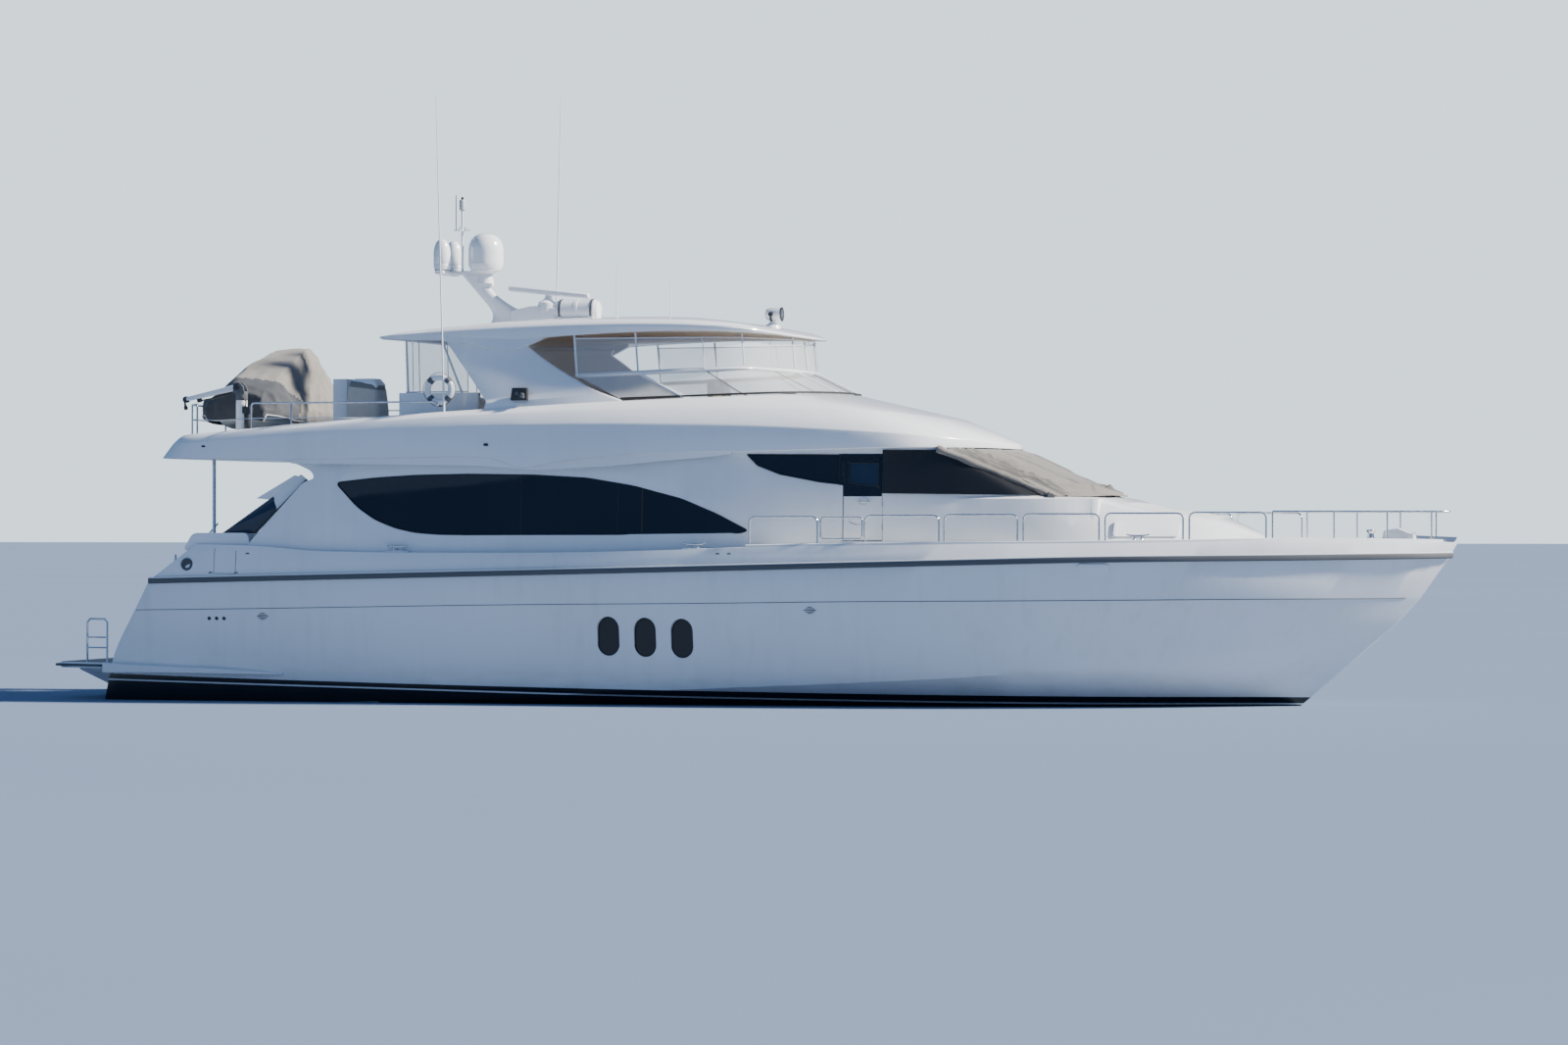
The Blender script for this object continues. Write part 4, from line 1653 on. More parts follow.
def cushion(low, high, crown=0.02, steps=7, power=4):
    """A padded block with a slightly domed face and soft edges."""
    low, high = Vector(low), Vector(high)
    middle, half = (low + high) / 2, (high - low) / 2
    rows = []
    for r in range(steps + 1):
        lat = -math.pi / 2 + math.pi * r / steps
        row = []
        for lon in turns(28):
            spot = Vector((math.cos(lat) * math.cos(lon), math.cos(lat) * math.sin(lon), math.sin(lat)))
            size = sum(abs(c) ** power for c in spot) ** (-1 / power)
            p = spot * size
            swell = crown * (1 - min(1, p.x ** 2)) * (1 - min(1, p.y ** 2))
            row.append(middle + Vector((p.x * half.x, p.y * half.y,
                                        p.z * (half.z + (swell if p.z > 0 else 0)))))
        rows.append(row)
    return Shape().grid(rows)


def make_helm():
    def choose(centre, normal):
        return "black_plastic" if centre.z > 4.98 and normal.x < -0.2 and normal.z > 0.2 else "white"

    adopt("helm_console", ["white", "black_plastic"], choose, (0.03, 3, 25))
    panel = Shape()
    lean = Matrix.Translation((0.53, 0, 5.12)) @ Matrix.Rotation(-0.9, 4, "Y")
    for y in (-0.78, -0.3, 0.18):
        panel.joined(Shape().block((-0.13, y, 0.0), (0.13, y + 0.4, 0.012)).moved(lean))
    make("helm_screens", panel, "glass", "glass", bevel=(0.006, 2, 40))
    wheel = Shape()
    hub = Vector((0.33, -0.45, 4.98))
    rim = [Vector((0, 0.21 * math.cos(a), 0.21 * math.sin(a))) for a in turns(48)]
    turn = Matrix.Translation(hub) @ Matrix.Rotation(0.5, 4, "Y")
    ring = Shape().tube(rim, 0.014, 12, closed=True)
    for k in range(5):
        a = 2 * math.pi * k / 5 + 0.3
        ring.tube([(0.03, 0, 0), (0, 0.21 * math.cos(a), 0.21 * math.sin(a))], 0.009, 10)
    ring.turned([(0.045, -0.03), (0.045, 0.02), (0.03, 0.035), (0, 0.038)], (0, 0, 0), (-1, 0, 0), 24)
    ring.tube([(0, 0, 0), (0.16, 0, 0)], 0.02, 12)
    wheel.joined(ring.moved(turn))
    for y in (0.62, 0.72):
        wheel.tube([(0.5, y, 5.12), (0.42, y, 5.3)], 0.011, 10)
        wheel.turned(ball_profile(0.024, 0, 6), (0.42, y, 5.29), sides=16)
    make("helm_wheel", wheel, "steel", "stainless")
    seats = Shape()
    for y in (-1.0, -0.44):
        seats.joined(cushion((-0.54, y, 4.82), (-0.04, y + 0.54, 4.97)))
        back = cushion((-0.1, y, -0.3), (0.06, y + 0.54, 0.3), 0.0)
        seats.joined(back.moved(Matrix.Translation((-0.55, 0, 5.24)) @ Matrix.Rotation(-0.13, 4, "Y")))
    piece = make("helm_cushions", seats, "cream", "upholstery", angle=60)
    stand = Shape().block((-0.42, -0.8, 4.45), (-0.18, -0.1, 4.8))
    stand.block((-0.56, -1.02, 4.78), (-0.05, 0.12, 4.83))
    make("helm_seat_stand", stand, "white", "gelcoat", replaces=["helm_seat"], bevel=(0.02, 3, 40))
    base = Shape()
    base.plate([(-3.0, y, z) for y, z in (
        (1.15, 4.45), (2.33, 4.45), (2.33, 5.2), (2.17, 5.2), (2.1, 4.80), (1.17, 4.80))], (1.75, 0, 0))
    make("bridge_settee_base", base, "white", "gelcoat", replaces=["bridge_settee"], bevel=(0.025, 3, 30))
    soft = Shape()
    for k in range(3):
        x = -2.98 + k * 0.575
        soft.joined(cushion((x, 1.17, 4.81), (x + 0.56, 2.08, 4.93)))
        back = cushion((x, -0.07, -0.2), (x + 0.56, 0.06, 0.2), 0.0)
        soft.joined(back.moved(Matrix.Translation((0, 2.09, 5.09)) @ Matrix.Rotation(-0.12, 4, "X")))
    piece = make("bridge_settee_cushions", soft, "cream", "upholstery", angle=60)


# The mast and what stands on the hardtop
def dome(radius, height):
    """A turned radome: a straight skirt, a parting line and a round top."""
    angles = [math.pi / 2 * k / 10 for k in range(1, 10)]
    seam = 0.985 * radius
    skirt = [(0, 0), (0.84 * radius, 0), (0.88 * radius, 0.02), (radius, 0.16 * height),
             (radius, 0.2 * height), (seam, 0.205 * height), (seam, 0.215 * height),
             (radius, 0.22 * height), (radius, 0.52 * height)]
    top = [(radius * math.cos(a) ** 0.8, height * (0.52 + 0.48 * math.sin(a))) for a in angles]
    return skirt + top + [(0, height)]


def make_mast():
    fin = []
    for z, aft, fore, half in (
            (6.40, -4.98, -3.40, 0.15), (6.48, -4.95, -3.5, 0.13), (6.76, -4.87, -4.25, 0.11),
            (7.08, -5.11, -4.79, 0.09), (7.45, -5.44, -5.06, 0.07)):
        middle, reach = (aft + fore) / 2, (fore - aft) / 2
        fin.append([Vector((middle + reach * math.copysign(abs(math.cos(a)) ** 0.8, math.cos(a)),
                            half * math.copysign(abs(math.sin(a)) ** 0.9, math.sin(a)), z))
                    for a in turns(32, 0.5)])
    columns = [fair([row[k] for row in fin], 5) for k in range(32)]
    mast = Shape().grid([list(row) for row in zip(*columns)])
    make("mast_fin", mast, "white_paint", "painted", replaces=["mast"], angle=40)
    arms = Shape()
    for low, high in (((-5.8, -0.06, 7.445), (-5.02, 0.06, 7.52)),
                      ((-5.79, -0.48, 7.45), (-5.63, 0.48, 7.515)),
                      ((-5.18, -0.06, 7.235), (-4.86, 0.06, 7.29))):
        arms.block(low, high)
    arms.plate([(x, -0.15, z) for x, z in (
        (-4.5, 6.5), (-3.55, 6.45), (-3.62, 6.84), (-4.12, 6.89), (-4.5, 6.8))], (0, 0.3, 0))
    make("mast_arms", arms, "white_paint", "painted", bevel=(0.02, 3, 30))
    domes = Shape()
    for y in (-0.31, 0.31):
        domes.turned(dome(0.15, 0.56), (-5.71, y, 7.512))
    make("small_domes", domes, "white_paint", "painted", angle=40)
    big = Shape()
    big.turned(dome(0.315, 0.66), (-5.0, 0, 7.521), sides=48)
    big.turned([(0.15, -0.23), (0.11, -0.06), (0.16, -0.03), (0.27, 0), (0.27, 0.02), (0, 0.02)],
               (-5.0, 0, 7.52))
    make("big_dome", big, "white_paint", "painted", replaces=["sat_dome"], angle=40)
    rings = Shape()
    for x, y, z, r in ((-5.71, -0.31, 7.515, 0.132), (-5.71, 0.31, 7.515, 0.132), (-5.0, 0, 7.53, 0.272)):
        rings.turned([(r, 0), (r, 0.012), (0, 0.013)], (x, y, z), sides=40)
    for y in (-0.15, 0.15):
        rings.tube([(-5.44, y, 8.24), (-5.44, y, 8.30)], 0.008, 8)
    rings.tube([(-5.44, 0.05, 8.255), (-5.44, 0.05, 8.60)], 0.007, 8)
    rings.tube([(-5.56, 0.0, 8.25), (-5.56, 0.0, 8.86)], 0.008, 8)
    rings.turned([(0.022, 0), (0.022, 0.05), (0, 0.055)], (-5.44, 0, 8.775), sides=16)
    make("dome_gaskets", rings, "black_rubber", "rubber")
    pole = Shape()
    pole.tube([(-5.44, 0, 7.5), (-5.44, 0, 8.62)], 0.022, 16)
    pole.tube([(-5.60, 0, 8.24), (-5.28, 0, 8.24)], 0.010, 10)
    pole.tube([(-5.44, -0.15, 8.24), (-5.44, 0.15, 8.24)], 0.011, 10)
    make("light_pole", pole, "white_paint", "painted")
    lamp = Shape()
    lamp.turned([(0.03, -0.03), (0.055, 0), (0.055, 0.02), (0.048, 0.03), (0.055, 0.04), (0.055, 0.09),
                 (0.048, 0.1), (0.055, 0.11), (0.055, 0.15), (0.045, 0.168), (0, 0.17)],
                (-5.44, 0, 8.61), sides=24)
    make("anchor_lamp", lamp, "hypalon", "painted")
    horns = Shape()
    for y, length in ((-0.34, 0.42), (0.34, 0.34)):
        horns.turned([(0.02, 0), (0.022, length * 0.5), (0.035, length * 0.8), (0.07, length),
                      (0.064, length - 0.004), (0.03, length * 0.8), (0, length * 0.75)],
                     (-3.3, y, 6.66), (1, 0, 0), 24)
        horns.block((-3.36, y - 0.04, 6.5), (-3.24, y + 0.04, 6.65))
    make("horns", horns, "steel", "stainless")


def make_radars():
    tilt = Matrix.Translation((-3.86, 0, 6.85)) @ Matrix.Rotation(0.105, 4, "Y")
    base = Shape().turned([(0.17, -0.06), (0.17, 0.05), (0.16, 0.09), (0.1, 0.13), (0.075, 0.15),
                           (0.06, 0.19), (0.06, 0.222), (0, 0.222)], (0, 0, 0), sides=40)
    make("scanner_base", base.moved(tilt), "white_paint", "painted")
    rows = []
    for x in (-0.75, -0.735, -0.7, 0.7, 0.735, 0.75):
        size = {0.75: 0.55, 0.735: 0.85}.get(abs(x), 1.0)
        rows.append([Vector((x, 0.06 * size * a, 0.0525 + 0.0525 * size * b)) for a, b in (
            (-0.7, -1), (0.7, -1), (1, -0.7), (1, 0.5), (0.5, 1), (-0.5, 1), (-1, 0.5), (-1, -0.7))])
    bar = Shape().grid(rows).moved(tilt @ Matrix.Translation((0, 0, 0.226)))
    make("scanner_bar", bar, "white_paint", "painted", "scanner", ["radar_scanner"], bevel=(0.008, 2, 35))
    flat = Shape()
    outline = rounded([(-4.5, -0.16, 0), (-3.62, -0.16, 0), (-3.62, 0.16, 0), (-4.5, 0.16, 0)], 0.12, 6, True)
    flat.grid([[Vector(((p.x + 4.06) * s - 4.06, p.y * s + 1.0, z)) for p in outline]
               for s, z in ((0.9, 6.60), (1.0, 6.62), (1.0, 6.66), (0.85, 6.70))])
    for x in (-4.35, -3.77):
        flat.block((x - 0.05, 0.92, 6.44), (x + 0.05, 1.08, 6.62))
    make("satellite_array", flat, "white_paint", "painted", angle=40)


def make_life_raft():
    low, y, z = -3.48, -0.7, 6.76
    profile = [(0, 0), (0.1, 0.004), (0.165, 0.03), (0.2, 0.09), (0.2, 0.38), (0.207, 0.385), (0.207, 0.445),
               (0.2, 0.45), (0.2, 0.74), (0.165, 0.80), (0.1, 0.826), (0, 0.83)]
    shell = Shape().turned(profile, (low, y, z), (1, 0, 0), 40)
    make("raft_case", shell, "white_paint", "painted", replaces=["life_raft"], angle=30)
    bands, feet = Shape(), Shape()
    for x in (-3.35, -2.78):
        ring = [Vector((x, y + 0.204 * math.cos(a), z + 0.204 * math.sin(a)))
                for a in (math.radians(-40 + 260 * k / 30) for k in range(31))]
        bands.grid([[p + Vector((-0.02, 0, 0)) for p in ring], [p + Vector((0.02, 0, 0)) for p in ring]],
                    round_rows=False, caps=False)
        feet.plate([(x - 0.05, y + a, b) for a, b in (
            (-0.16, 6.45), (0.16, 6.45), (0.2, 6.66), (0.15, 6.66), (0.0, 6.57), (-0.15, 6.66),
            (-0.2, 6.66))], (0.1, 0, 0))
    band = bands.object("raft_bands", ["grey_rubber"])
    made = band.modifiers.new("thick", "SOLIDIFY")
    made.thickness = 0.004
    made.offset = 1.0
    settle(applied(band), "rubber")
    make("raft_feet", feet, "white_paint", "painted", bevel=(0.008, 2, 30))


def make_aerials():
    thin = Shape()
    ends = []
    for x, y, low, high, lean in ((-4.74, -2.91, 4.85, 10.37, -0.15), (-4.33, 1.9, 6.43, 10.72, 0.09)):
        foot, tip = Vector((x, y, low)), Vector((x + lean, y, high))
        thin.tube([foot.lerp(tip, t) for t in (0.1, 0.4, 0.7, 1.0)], [0.015, 0.013, 0.010, 0.006], 10)
        thin.tube([foot.lerp(tip, 0.0), foot.lerp(tip, 0.11)], 0.019, 14)
        ends.append(foot)
    for x, y, high in ((-2.2, -1.2, 7.5), (-2.0, 1.3, 7.35)):
        thin.tube([(x, y, 6.5), (x, y, high)], [0.013, 0.006], 10)
    make("aerials", thin, "white_paint", "painted")
    mounts = Shape()
    for foot in ends:
        mounts.tube([foot + Vector((0, 0, -0.02)), foot + Vector((0, 0, 0.09))], 0.028, 16)
        mounts.block(foot + Vector((-0.04, -0.03, 0.02)), foot + Vector((0.04, 0.06, 0.07)))
    mounts.tube([(-4.82, -2.8, 6.3), (-4.79, -2.92, 6.3)], 0.012, 10)
    make("aerial_mounts", mounts, "black_plastic", "rubber")
    lamp = Shape()
    lamp.turned([(0.15, -0.02), (0.13, 0.04), (0.06, 0.075), (0.05, 0.13), (0, 0.13)], (0.25, 0, 6.46),
                sides=32)
    lamp.tube([(0.13, 0, 6.69), (0.15, 0, 6.69), (0.18, 0, 6.69), (0.38, 0, 6.69), (0.415, 0, 6.69)],
              [0.06, 0.095, 0.11, 0.12, 0.12], 32)
    make("searchlight", lamp, "white_paint", "painted", angle=30)
    fork = Shape()
    for y in (-0.13, 0.13):
        fork.tube([(0.25, y * 0.5, 6.575), (0.25, y, 6.60), (0.25, y, 6.72)], 0.018, 10)
        fork.tube([(0.25, y, 6.69), (0.25, y * 1.15, 6.69)], 0.04, 16)
    fork.tube([(0.41, 0, 6.69), (0.426, 0, 6.69)], 0.124, 32)
    make("searchlight_fork", fork, "black_plastic", "rubber")
    front = Shape().tube([(0.40, 0, 6.69), (0.422, 0, 6.69), (0.43, 0, 6.69)], [0.108, 0.106, 0.05], 32)
    make("searchlight_glass", front, "lens", "glass")


# The boat deck
PORT_RAIL = [(-4.85, 2.935), (-5.56, 2.95), (-7.51, 2.96), (-8.85, 2.87), (-9.5, 2.6), (-9.85, 1.6),
             (-9.93, 0), (-9.85, -1.6), (-9.76, -1.95), (-9.48, -2.4)]
SIDE_RAIL = [(-4.85, -2.935), (-7.51, -2.96), (-8.27, -2.905)]
EXTRA_POSTS = [(-6.2, 2.956), (-8.27, 2.905)]


def make_boat_rail():
    rail = Shape()
    foot, wire, top = 4.44, 4.88, 5.14
    for plan in (PORT_RAIL, SIDE_RAIL):
        line = fair([(x, y, top) for x, y in plan], 5)
        ends = [Vector((plan[0][0], plan[0][1], foot)), Vector((plan[-1][0], plan[-1][1], foot))]
        rail.tube(rounded([ends[0]] + line + [ends[1]], 0.09, 4), 0.016, 12)
        rail.tube([Vector((p.x, p.y, wire)) for p in line], 0.008, 8)
        for x, y in plan[1:-1]:
            if (x, y) != (-9.85, -1.6):
                rail.tube([(x, y, foot), (x, y, top)], 0.015, 12)
        for x, y in plan:
            if (x, y) != (-9.85, -1.6):
                rail_foot(rail, Vector((x, y, 4.452)))
    for x, y in EXTRA_POSTS:
        rail.tube([(x, y, foot), (x, y, top)], 0.015, 12)
        rail_foot(rail, Vector((x, y, 4.452)))
    gap = [(-8.27, -2.905, wire), (-8.9, -2.72, wire - 0.03), (-9.48, -2.4, wire)]
    rail.tube(fair(gap, 6), 0.007, 8)
    make("boat_deck_rails", rail, "steel", "stainless", replaces=["boat_deck_rail"])


def make_davit():
    x, y = -8.75, -2.15
    post = Shape().turned([(0.18, 0), (0.18, 0.03), (0.17, 0.06), (0.125, 0.1), (0.105, 0.16), (0.1, 0.75),
                           (0.104, 0.76), (0, 0.76)], (x, y, 4.45), sides=40)
    make("davit_column", post, "white_paint", "painted", replaces=["davit_post"], angle=40)
    bolts = Shape()
    for k in range(8):
        a = math.pi * k / 4
        bolts.turned([(0.013, 0), (0.013, 0.01), (0, 0.012)],
                     (x + 0.15 * math.cos(a), y + 0.15 * math.sin(a), 4.482), sides=6)
    make("davit_bolts", bolts, "steel", "stainless")
    body = "davit_slewing_head"
    head = Shape().turned([(0.1, 0), (0.106, 0.01), (0.106, 0.13), (0.09, 0.145), (0, 0.146)], (x, y, 5.22),
                          sides=40)
    make("davit_collar", head, "grey_rubber", "painted", body, ["davit_head"], angle=40)
    cheeks = Shape()
    for side in (-1, 1):
        cheeks.plate([(x - 0.13, y + side * 0.065, 5.33), (x + 0.09, y + side * 0.065, 5.33),
                      (x + 0.06, y + side * 0.065, 5.46), (x - 0.02, y + side * 0.065, 5.53),
                      (x - 0.13, y + side * 0.065, 5.51)], (0, side * 0.03, 0))
    make("davit_cheeks", cheeks, "grey_rubber", "painted", body, bevel=(0.01, 2, 30))
    hubs = Shape().tube([(-8.81, y - 0.11, 5.44), (-8.81, y - 0.096, 5.44)], 0.055, 24)
    hubs.tube([(-8.81, y + 0.096, 5.44), (-8.81, y + 0.11, 5.44)], 0.055, 24)
    make("davit_hubs", hubs, "black_plastic", "rubber", body)
    turn = Matrix.Translation((-8.81, y, 5.44)) @ Matrix.Rotation(-0.21, 4, "Y")
    boom = Shape()
    rows = []
    for at, half, tall in ((-1.0, 0.034, 0.032), (-0.97, 0.038, 0.036), (-0.55, 0.044, 0.044),
                           (-0.15, 0.05, 0.052), (0.02, 0.05, 0.05), (0.05, 0.042, 0.04)):
        rows.append([Vector((at, half * a, 0.004 + tall * b)) for a, b in (
            (-0.8, -1), (0.8, -1), (1, -0.8), (1, 0.8), (0.8, 1), (-0.8, 1), (-1, 0.8), (-1, -0.8))])
    boom.grid(rows)
    make("davit_arm_beam", boom.moved(turn), "white_paint", "painted", "davit_arm", ["davit_boom"],
         bevel=(0.006, 2, 35))
    gear = Shape()
    gear.tube([(-0.16, 0, -0.075), (-0.5, 0, -0.085)], 0.026, 16)
    gear.tube([(-0.5, 0, -0.085), (-0.74, 0, -0.075)], 0.013, 12)
    gear.block((-0.8, -0.025, -0.1), (-0.72, 0.025, -0.03))
    gear.tube([(-1.0, -0.036, 0.0), (-1.0, 0.036, 0.0)], 0.058, 24)
    gear.turned([(0.012, 0), (0.02, -0.1), (0.034, -0.12), (0.034, -0.17), (0, -0.18)], (-1.04, 0, 0.0),
                sides=16)
    make("davit_ram", gear.moved(turn), "black_plastic", "rubber", "davit_arm")
    pump = Shape()
    pump.tube([(x + 0.13, y - 0.05, 4.72), (x + 0.13, y - 0.05, 5.02)], 0.06, 20)
    pump.block((x + 0.06, y - 0.13, 4.98), (x + 0.2, y + 0.03, 5.1))
    pump.tube([(x + 0.09, y - 0.05, 5.08), (x + 0.12, y - 0.1, 5.2), (x + 0.05, y - 0.1, 5.24)], 0.012, 8)
    make("davit_pump", pump, "black_plastic", "rubber", bevel=(0.01, 2, 35))


def make_tender():
    centre = -9.02
    spine = [(-0.495, 1.62, 4.93), (-0.495, 1.56, 4.93), (-0.497, 0.8, 4.93), (-0.495, 0.0, 4.94),
             (-0.49, -0.6, 4.95), (-0.371, -1.15, 5.0), (-0.2, -1.31, 5.03), (0, -1.355, 5.04)]
    half = vectors([(centre + x, y, z) for x, y, z in spine])
    line = fair(half, 5)
    whole = line + [Vector((2 * centre - p.x, p.y, p.z)) for p in reversed(line[:-1])]
    sizes = [0.205] * len(whole)
    for i, size in enumerate((0.05, 0.12, 0.165, 0.19)):
        sizes[i] = sizes[-1 - i] = size
    tubes = Shape().tube(whole, sizes, 24)
    make("tender_tubes", tubes, "hypalon", "rubber", replaces=["tender"], angle=50)
    strake = Shape()
    for flip in (-1, 1):
        side = [Vector((centre + flip * (p.x - centre) - flip * 0.21, p.y, p.z - 0.02)) for p in line[4:26]]
        strake.tube(side, 0.014, 8)
    make("tender_rub_strake", strake, "black_rubber", "rubber")
    rows = []
    for y, half_wide, keel, chine in (
            (1.5, 0.44, 4.63, 4.78), (0.8, 0.45, 4.63, 4.78), (0.0, 0.45, 4.64, 4.79),
            (-0.6, 0.40, 4.68, 4.83), (-1.1, 0.25, 4.80, 4.9), (-1.33, 0.05, 4.95, 4.98)):
        rows.append([Vector((centre - half_wide, y, 4.95)), Vector((centre - half_wide, y, chine)),
                     Vector((centre, y, keel)), Vector((centre + half_wide, y, chine)),
                     Vector((centre + half_wide, y, 4.95)), Vector((centre, y, 4.9))])
    make("tender_hull", Shape().grid(rows), "white", "gelcoat", angle=50)
    inside = Shape()
    inside.block((centre - 0.24, 0.1, 4.88), (centre + 0.24, 0.6, 5.5))
    inside.block((centre - 0.4, 1.36, 4.82), (centre + 0.4, 1.42, 5.18))
    inside.block((centre - 0.13, 1.42, 4.72), (centre + 0.13, 1.7, 5.22))
    make("tender_console", inside, "white", "gelcoat", bevel=(0.03, 3, 30))
    chocks = Shape()
    for y in (0.9, -0.5):
        chocks.plate([(centre - 0.5, y, 4.45), (centre + 0.5, y, 4.45), (centre + 0.5, y, 4.78),
                      (centre + 0.3, y, 4.74), (centre, y, 4.66), (centre - 0.3, y, 4.74),
                      (centre - 0.5, y, 4.78)], (0, 0.12, 0))
    make("tender_chocks", chocks, "grey_rubber", "rubber", bevel=(0.01, 2, 30))


COVER_ROWS = [  # y, half, hem, side, aft, crown, fore
    (-1.74, 0.46, 4.84, 4.86, 4.88, 4.90, 4.88), (-1.73, 0.49, 4.90, 5.02, 5.10, 5.15, 5.10),
    (-1.70, 0.52, 4.94, 5.14, 5.28, 5.40, 5.29), (-1.45, 0.68, 4.90, 5.19, 5.36, 5.62, 5.45),
    (-0.90, 0.75, 4.83, 5.19, 5.50, 5.85, 5.76), (-0.10, 0.76, 4.81, 5.19, 5.64, 6.05, 6.05),
    (0.35, 0.76, 4.81, 5.19, 5.70, 6.14, 6.155), (0.80, 0.76, 4.81, 5.19, 5.62, 5.96, 5.93),
    (1.30, 0.76, 4.82, 5.18, 5.40, 5.62, 5.57), (1.66, 0.75, 4.85, 5.15, 5.25, 5.35, 5.27),
    (1.70, 0.73, 4.85, 5.00, 5.08, 5.12, 5.09), (1.71, 0.72, 4.83, 4.84, 4.85, 4.86, 4.85)]


def taut(points, steps, slack=0.45):
    """A line through points that is partly straight and partly faired."""
    soft = fair(points, steps)
    count = len(soft) - 1
    made = []
    for k, p in enumerate(soft):
        i = min(k // steps, len(points) - 2)
        straight = points[i].lerp(points[i + 1], k / steps - i)
        made.append(straight.lerp(p, slack) if k not in (0, count) else p)
    return made


def make_tender_cover():
    """Canvas over the tender, tented over its console and gathered in folds down to the hem."""
    middle = -9.02
    keys = []
    for y, half, hem, side, aft, crown, fore in COVER_ROWS:
        keys.append(vectors([
            (-half - 0.03, y, hem), (-half, y, side), (-0.62 * half, y, aft), (-0.1 * half, y, crown),
            (0.75 * half, y, fore), (half, y, side), (half + 0.03, y, hem)]))
    lines = [taut([row[k] for row in keys], 12) for k in range(7)]
    sections = [taut(list(row), 18) for row in zip(*lines)]
    tall = len(sections[0])
    made = []
    peak = Vector((0.35, 0.35, 6.1))
    for row in sections:
        spread = []
        for k, p in enumerate(row):
            u = k / (tall - 1)
            from_hem = min(u, 1 - u)
            slope = math.exp(-((from_hem - 0.2) / 0.17) ** 2)
            fan = math.atan2(p.z - peak.z, p.y - peak.y)
            fold = 0.055 * crease(fan * 3.6 + 0.35 * math.sin(3 * p.x) + 0.2) * slope
            fold += 0.030 * crease(p.y * 1.7 + 0.5 * p.z) * math.exp(-(from_hem / 0.16) ** 2)
            fold += 0.045 * noise_at(Vector((p.x * 2.0, p.y * 2.0, p.z * 2.0 + 3))) * (0.3 + slope)
            bend = noise_at(Vector((p.x * 3.1, p.y * 3.1 + 0.7 * p.z, p.z * 3.1 - 2)))
            fold += 0.030 * (1 - min(1, abs(bend) * 3.2)) * (0.35 + slope)
            fold += 0.008 * noise_at(Vector((p.x * 9, p.y * 9, p.z * 9)))
            out = Vector((p.x * 1.2, (p.y - 0.1) * 0.5, (p.z - 5.0) * 0.9 + 0.25)).normalized()
            spread.append(p + out * (fold * 0.8 + 0.012) + Vector((middle, 0, 0)))
        made.append(spread)
    skin = layer(made, -0.003)
    piece = skin.object("tender_canvas", ["taupe", "navy_canvas"])

    def choose(centre, normal):
        x = centre.x - middle
        wedge = centre.y < -0.75 and centre.z < 5.25 - (centre.y + 0.75) * 0.55
        aft_leaf = x < -0.62 and centre.z < 5.30
        return "navy_canvas" if wedge or aft_leaf else "taupe"

    painted(piece, ["taupe", "navy_canvas"], choose)
    settle(piece, "canvas", replaces=["tender_cover"], angle=70)
    hem = Shape()
    for k in (2, -3):
        hem.tube([row[k] + Vector((0.012 * (1 if k < 0 else -1), 0, 0)) for row in made], 0.012, 8)
    hem = make("tender_cover_hem", hem, "linen", "canvas", angle=60)


def make_deck_locker():
    """Canvas cover with a loose hem over the moulded locker on the boat deck."""
    rows = []
    for z, half, soft in (
            (4.62, 0.30, 0.022), (4.8, 0.30, 0.016), (5.0, 0.30, 0.012), (5.25, 0.286, 0.01),
            (5.46, 0.272, 0.008), (5.555, 0.245, 0.006), (5.598, 0.17, 0.004), (5.604, 0.03, 0.0)):
        row = []
        for a in turns(64):
            spot = Vector((math.cos(a), math.sin(a), 0))
            size = (abs(spot.x) ** 5 + abs(spot.y) ** 5) ** -0.2
            wander = noise_at(Vector((spot.x * 2, spot.y * 2, z * 3)))
            fold = soft * math.sin(9 * a + z * 3) * 0.6 + soft * wander
            spot = spot * (half * size + 0.012 + fold * 0.7)
            row.append(Vector((-6.47 + spot.x, -2.0 + spot.y, z - max(0, z - 5.0) * 0.25 * (0.5 + spot.x))))
        rows.append(row)
    cover = Shape().grid(rows, caps=False).object("locker_canvas", ["taupe"])
    painted(cover, ["taupe", "cover_linen"], lambda centre, normal: "taupe"
            if centre.z > 5.36 - 0.2 * (centre.x + 6.47) else "cover_linen")
    made = cover.modifiers.new("thick", "SOLIDIFY")
    made.thickness = 0.003
    made.offset = 1.0
    settle(applied(cover), "canvas", angle=60)


# The stern and the aft deck
def make_platform():
    def choose(centre, normal):
        if centre.z > 0.66:
            return "steel"
        return "teak" if normal.z > 0.9 and centre.z > 0.62 else "white"

    adopt("swim_platform", ["white", "teak", "steel"], choose, (0.008, 2, 50))
    fender = Shape()
    edge = rounded([(-10.72, 2.765, 0.595), (-11.05, 2.795, 0.595), (-12.155, 2.425, 0.595),
                    (-12.155, -2.425, 0.595), (-11.05, -2.795, 0.595), (-10.72, -2.765, 0.595)], 0.1, 5)
    fender.tube(edge, 0.022, 10)
    make("platform_fender", fender, "grey_rubber", "rubber")
    braces = Shape()
    for y in (1.9, 0.7):
        braces.plate([(x, y, z) for x, z in (
            (-10.9, 0.55), (-11.9, 0.55), (-11.9, 0.5), (-11.05, 0.12), (-10.9, 0.12))], (0, 0.04, 0))
    make("platform_braces", braces.both_sides(), "white", "gelcoat", bevel=(0.006, 2, 40))


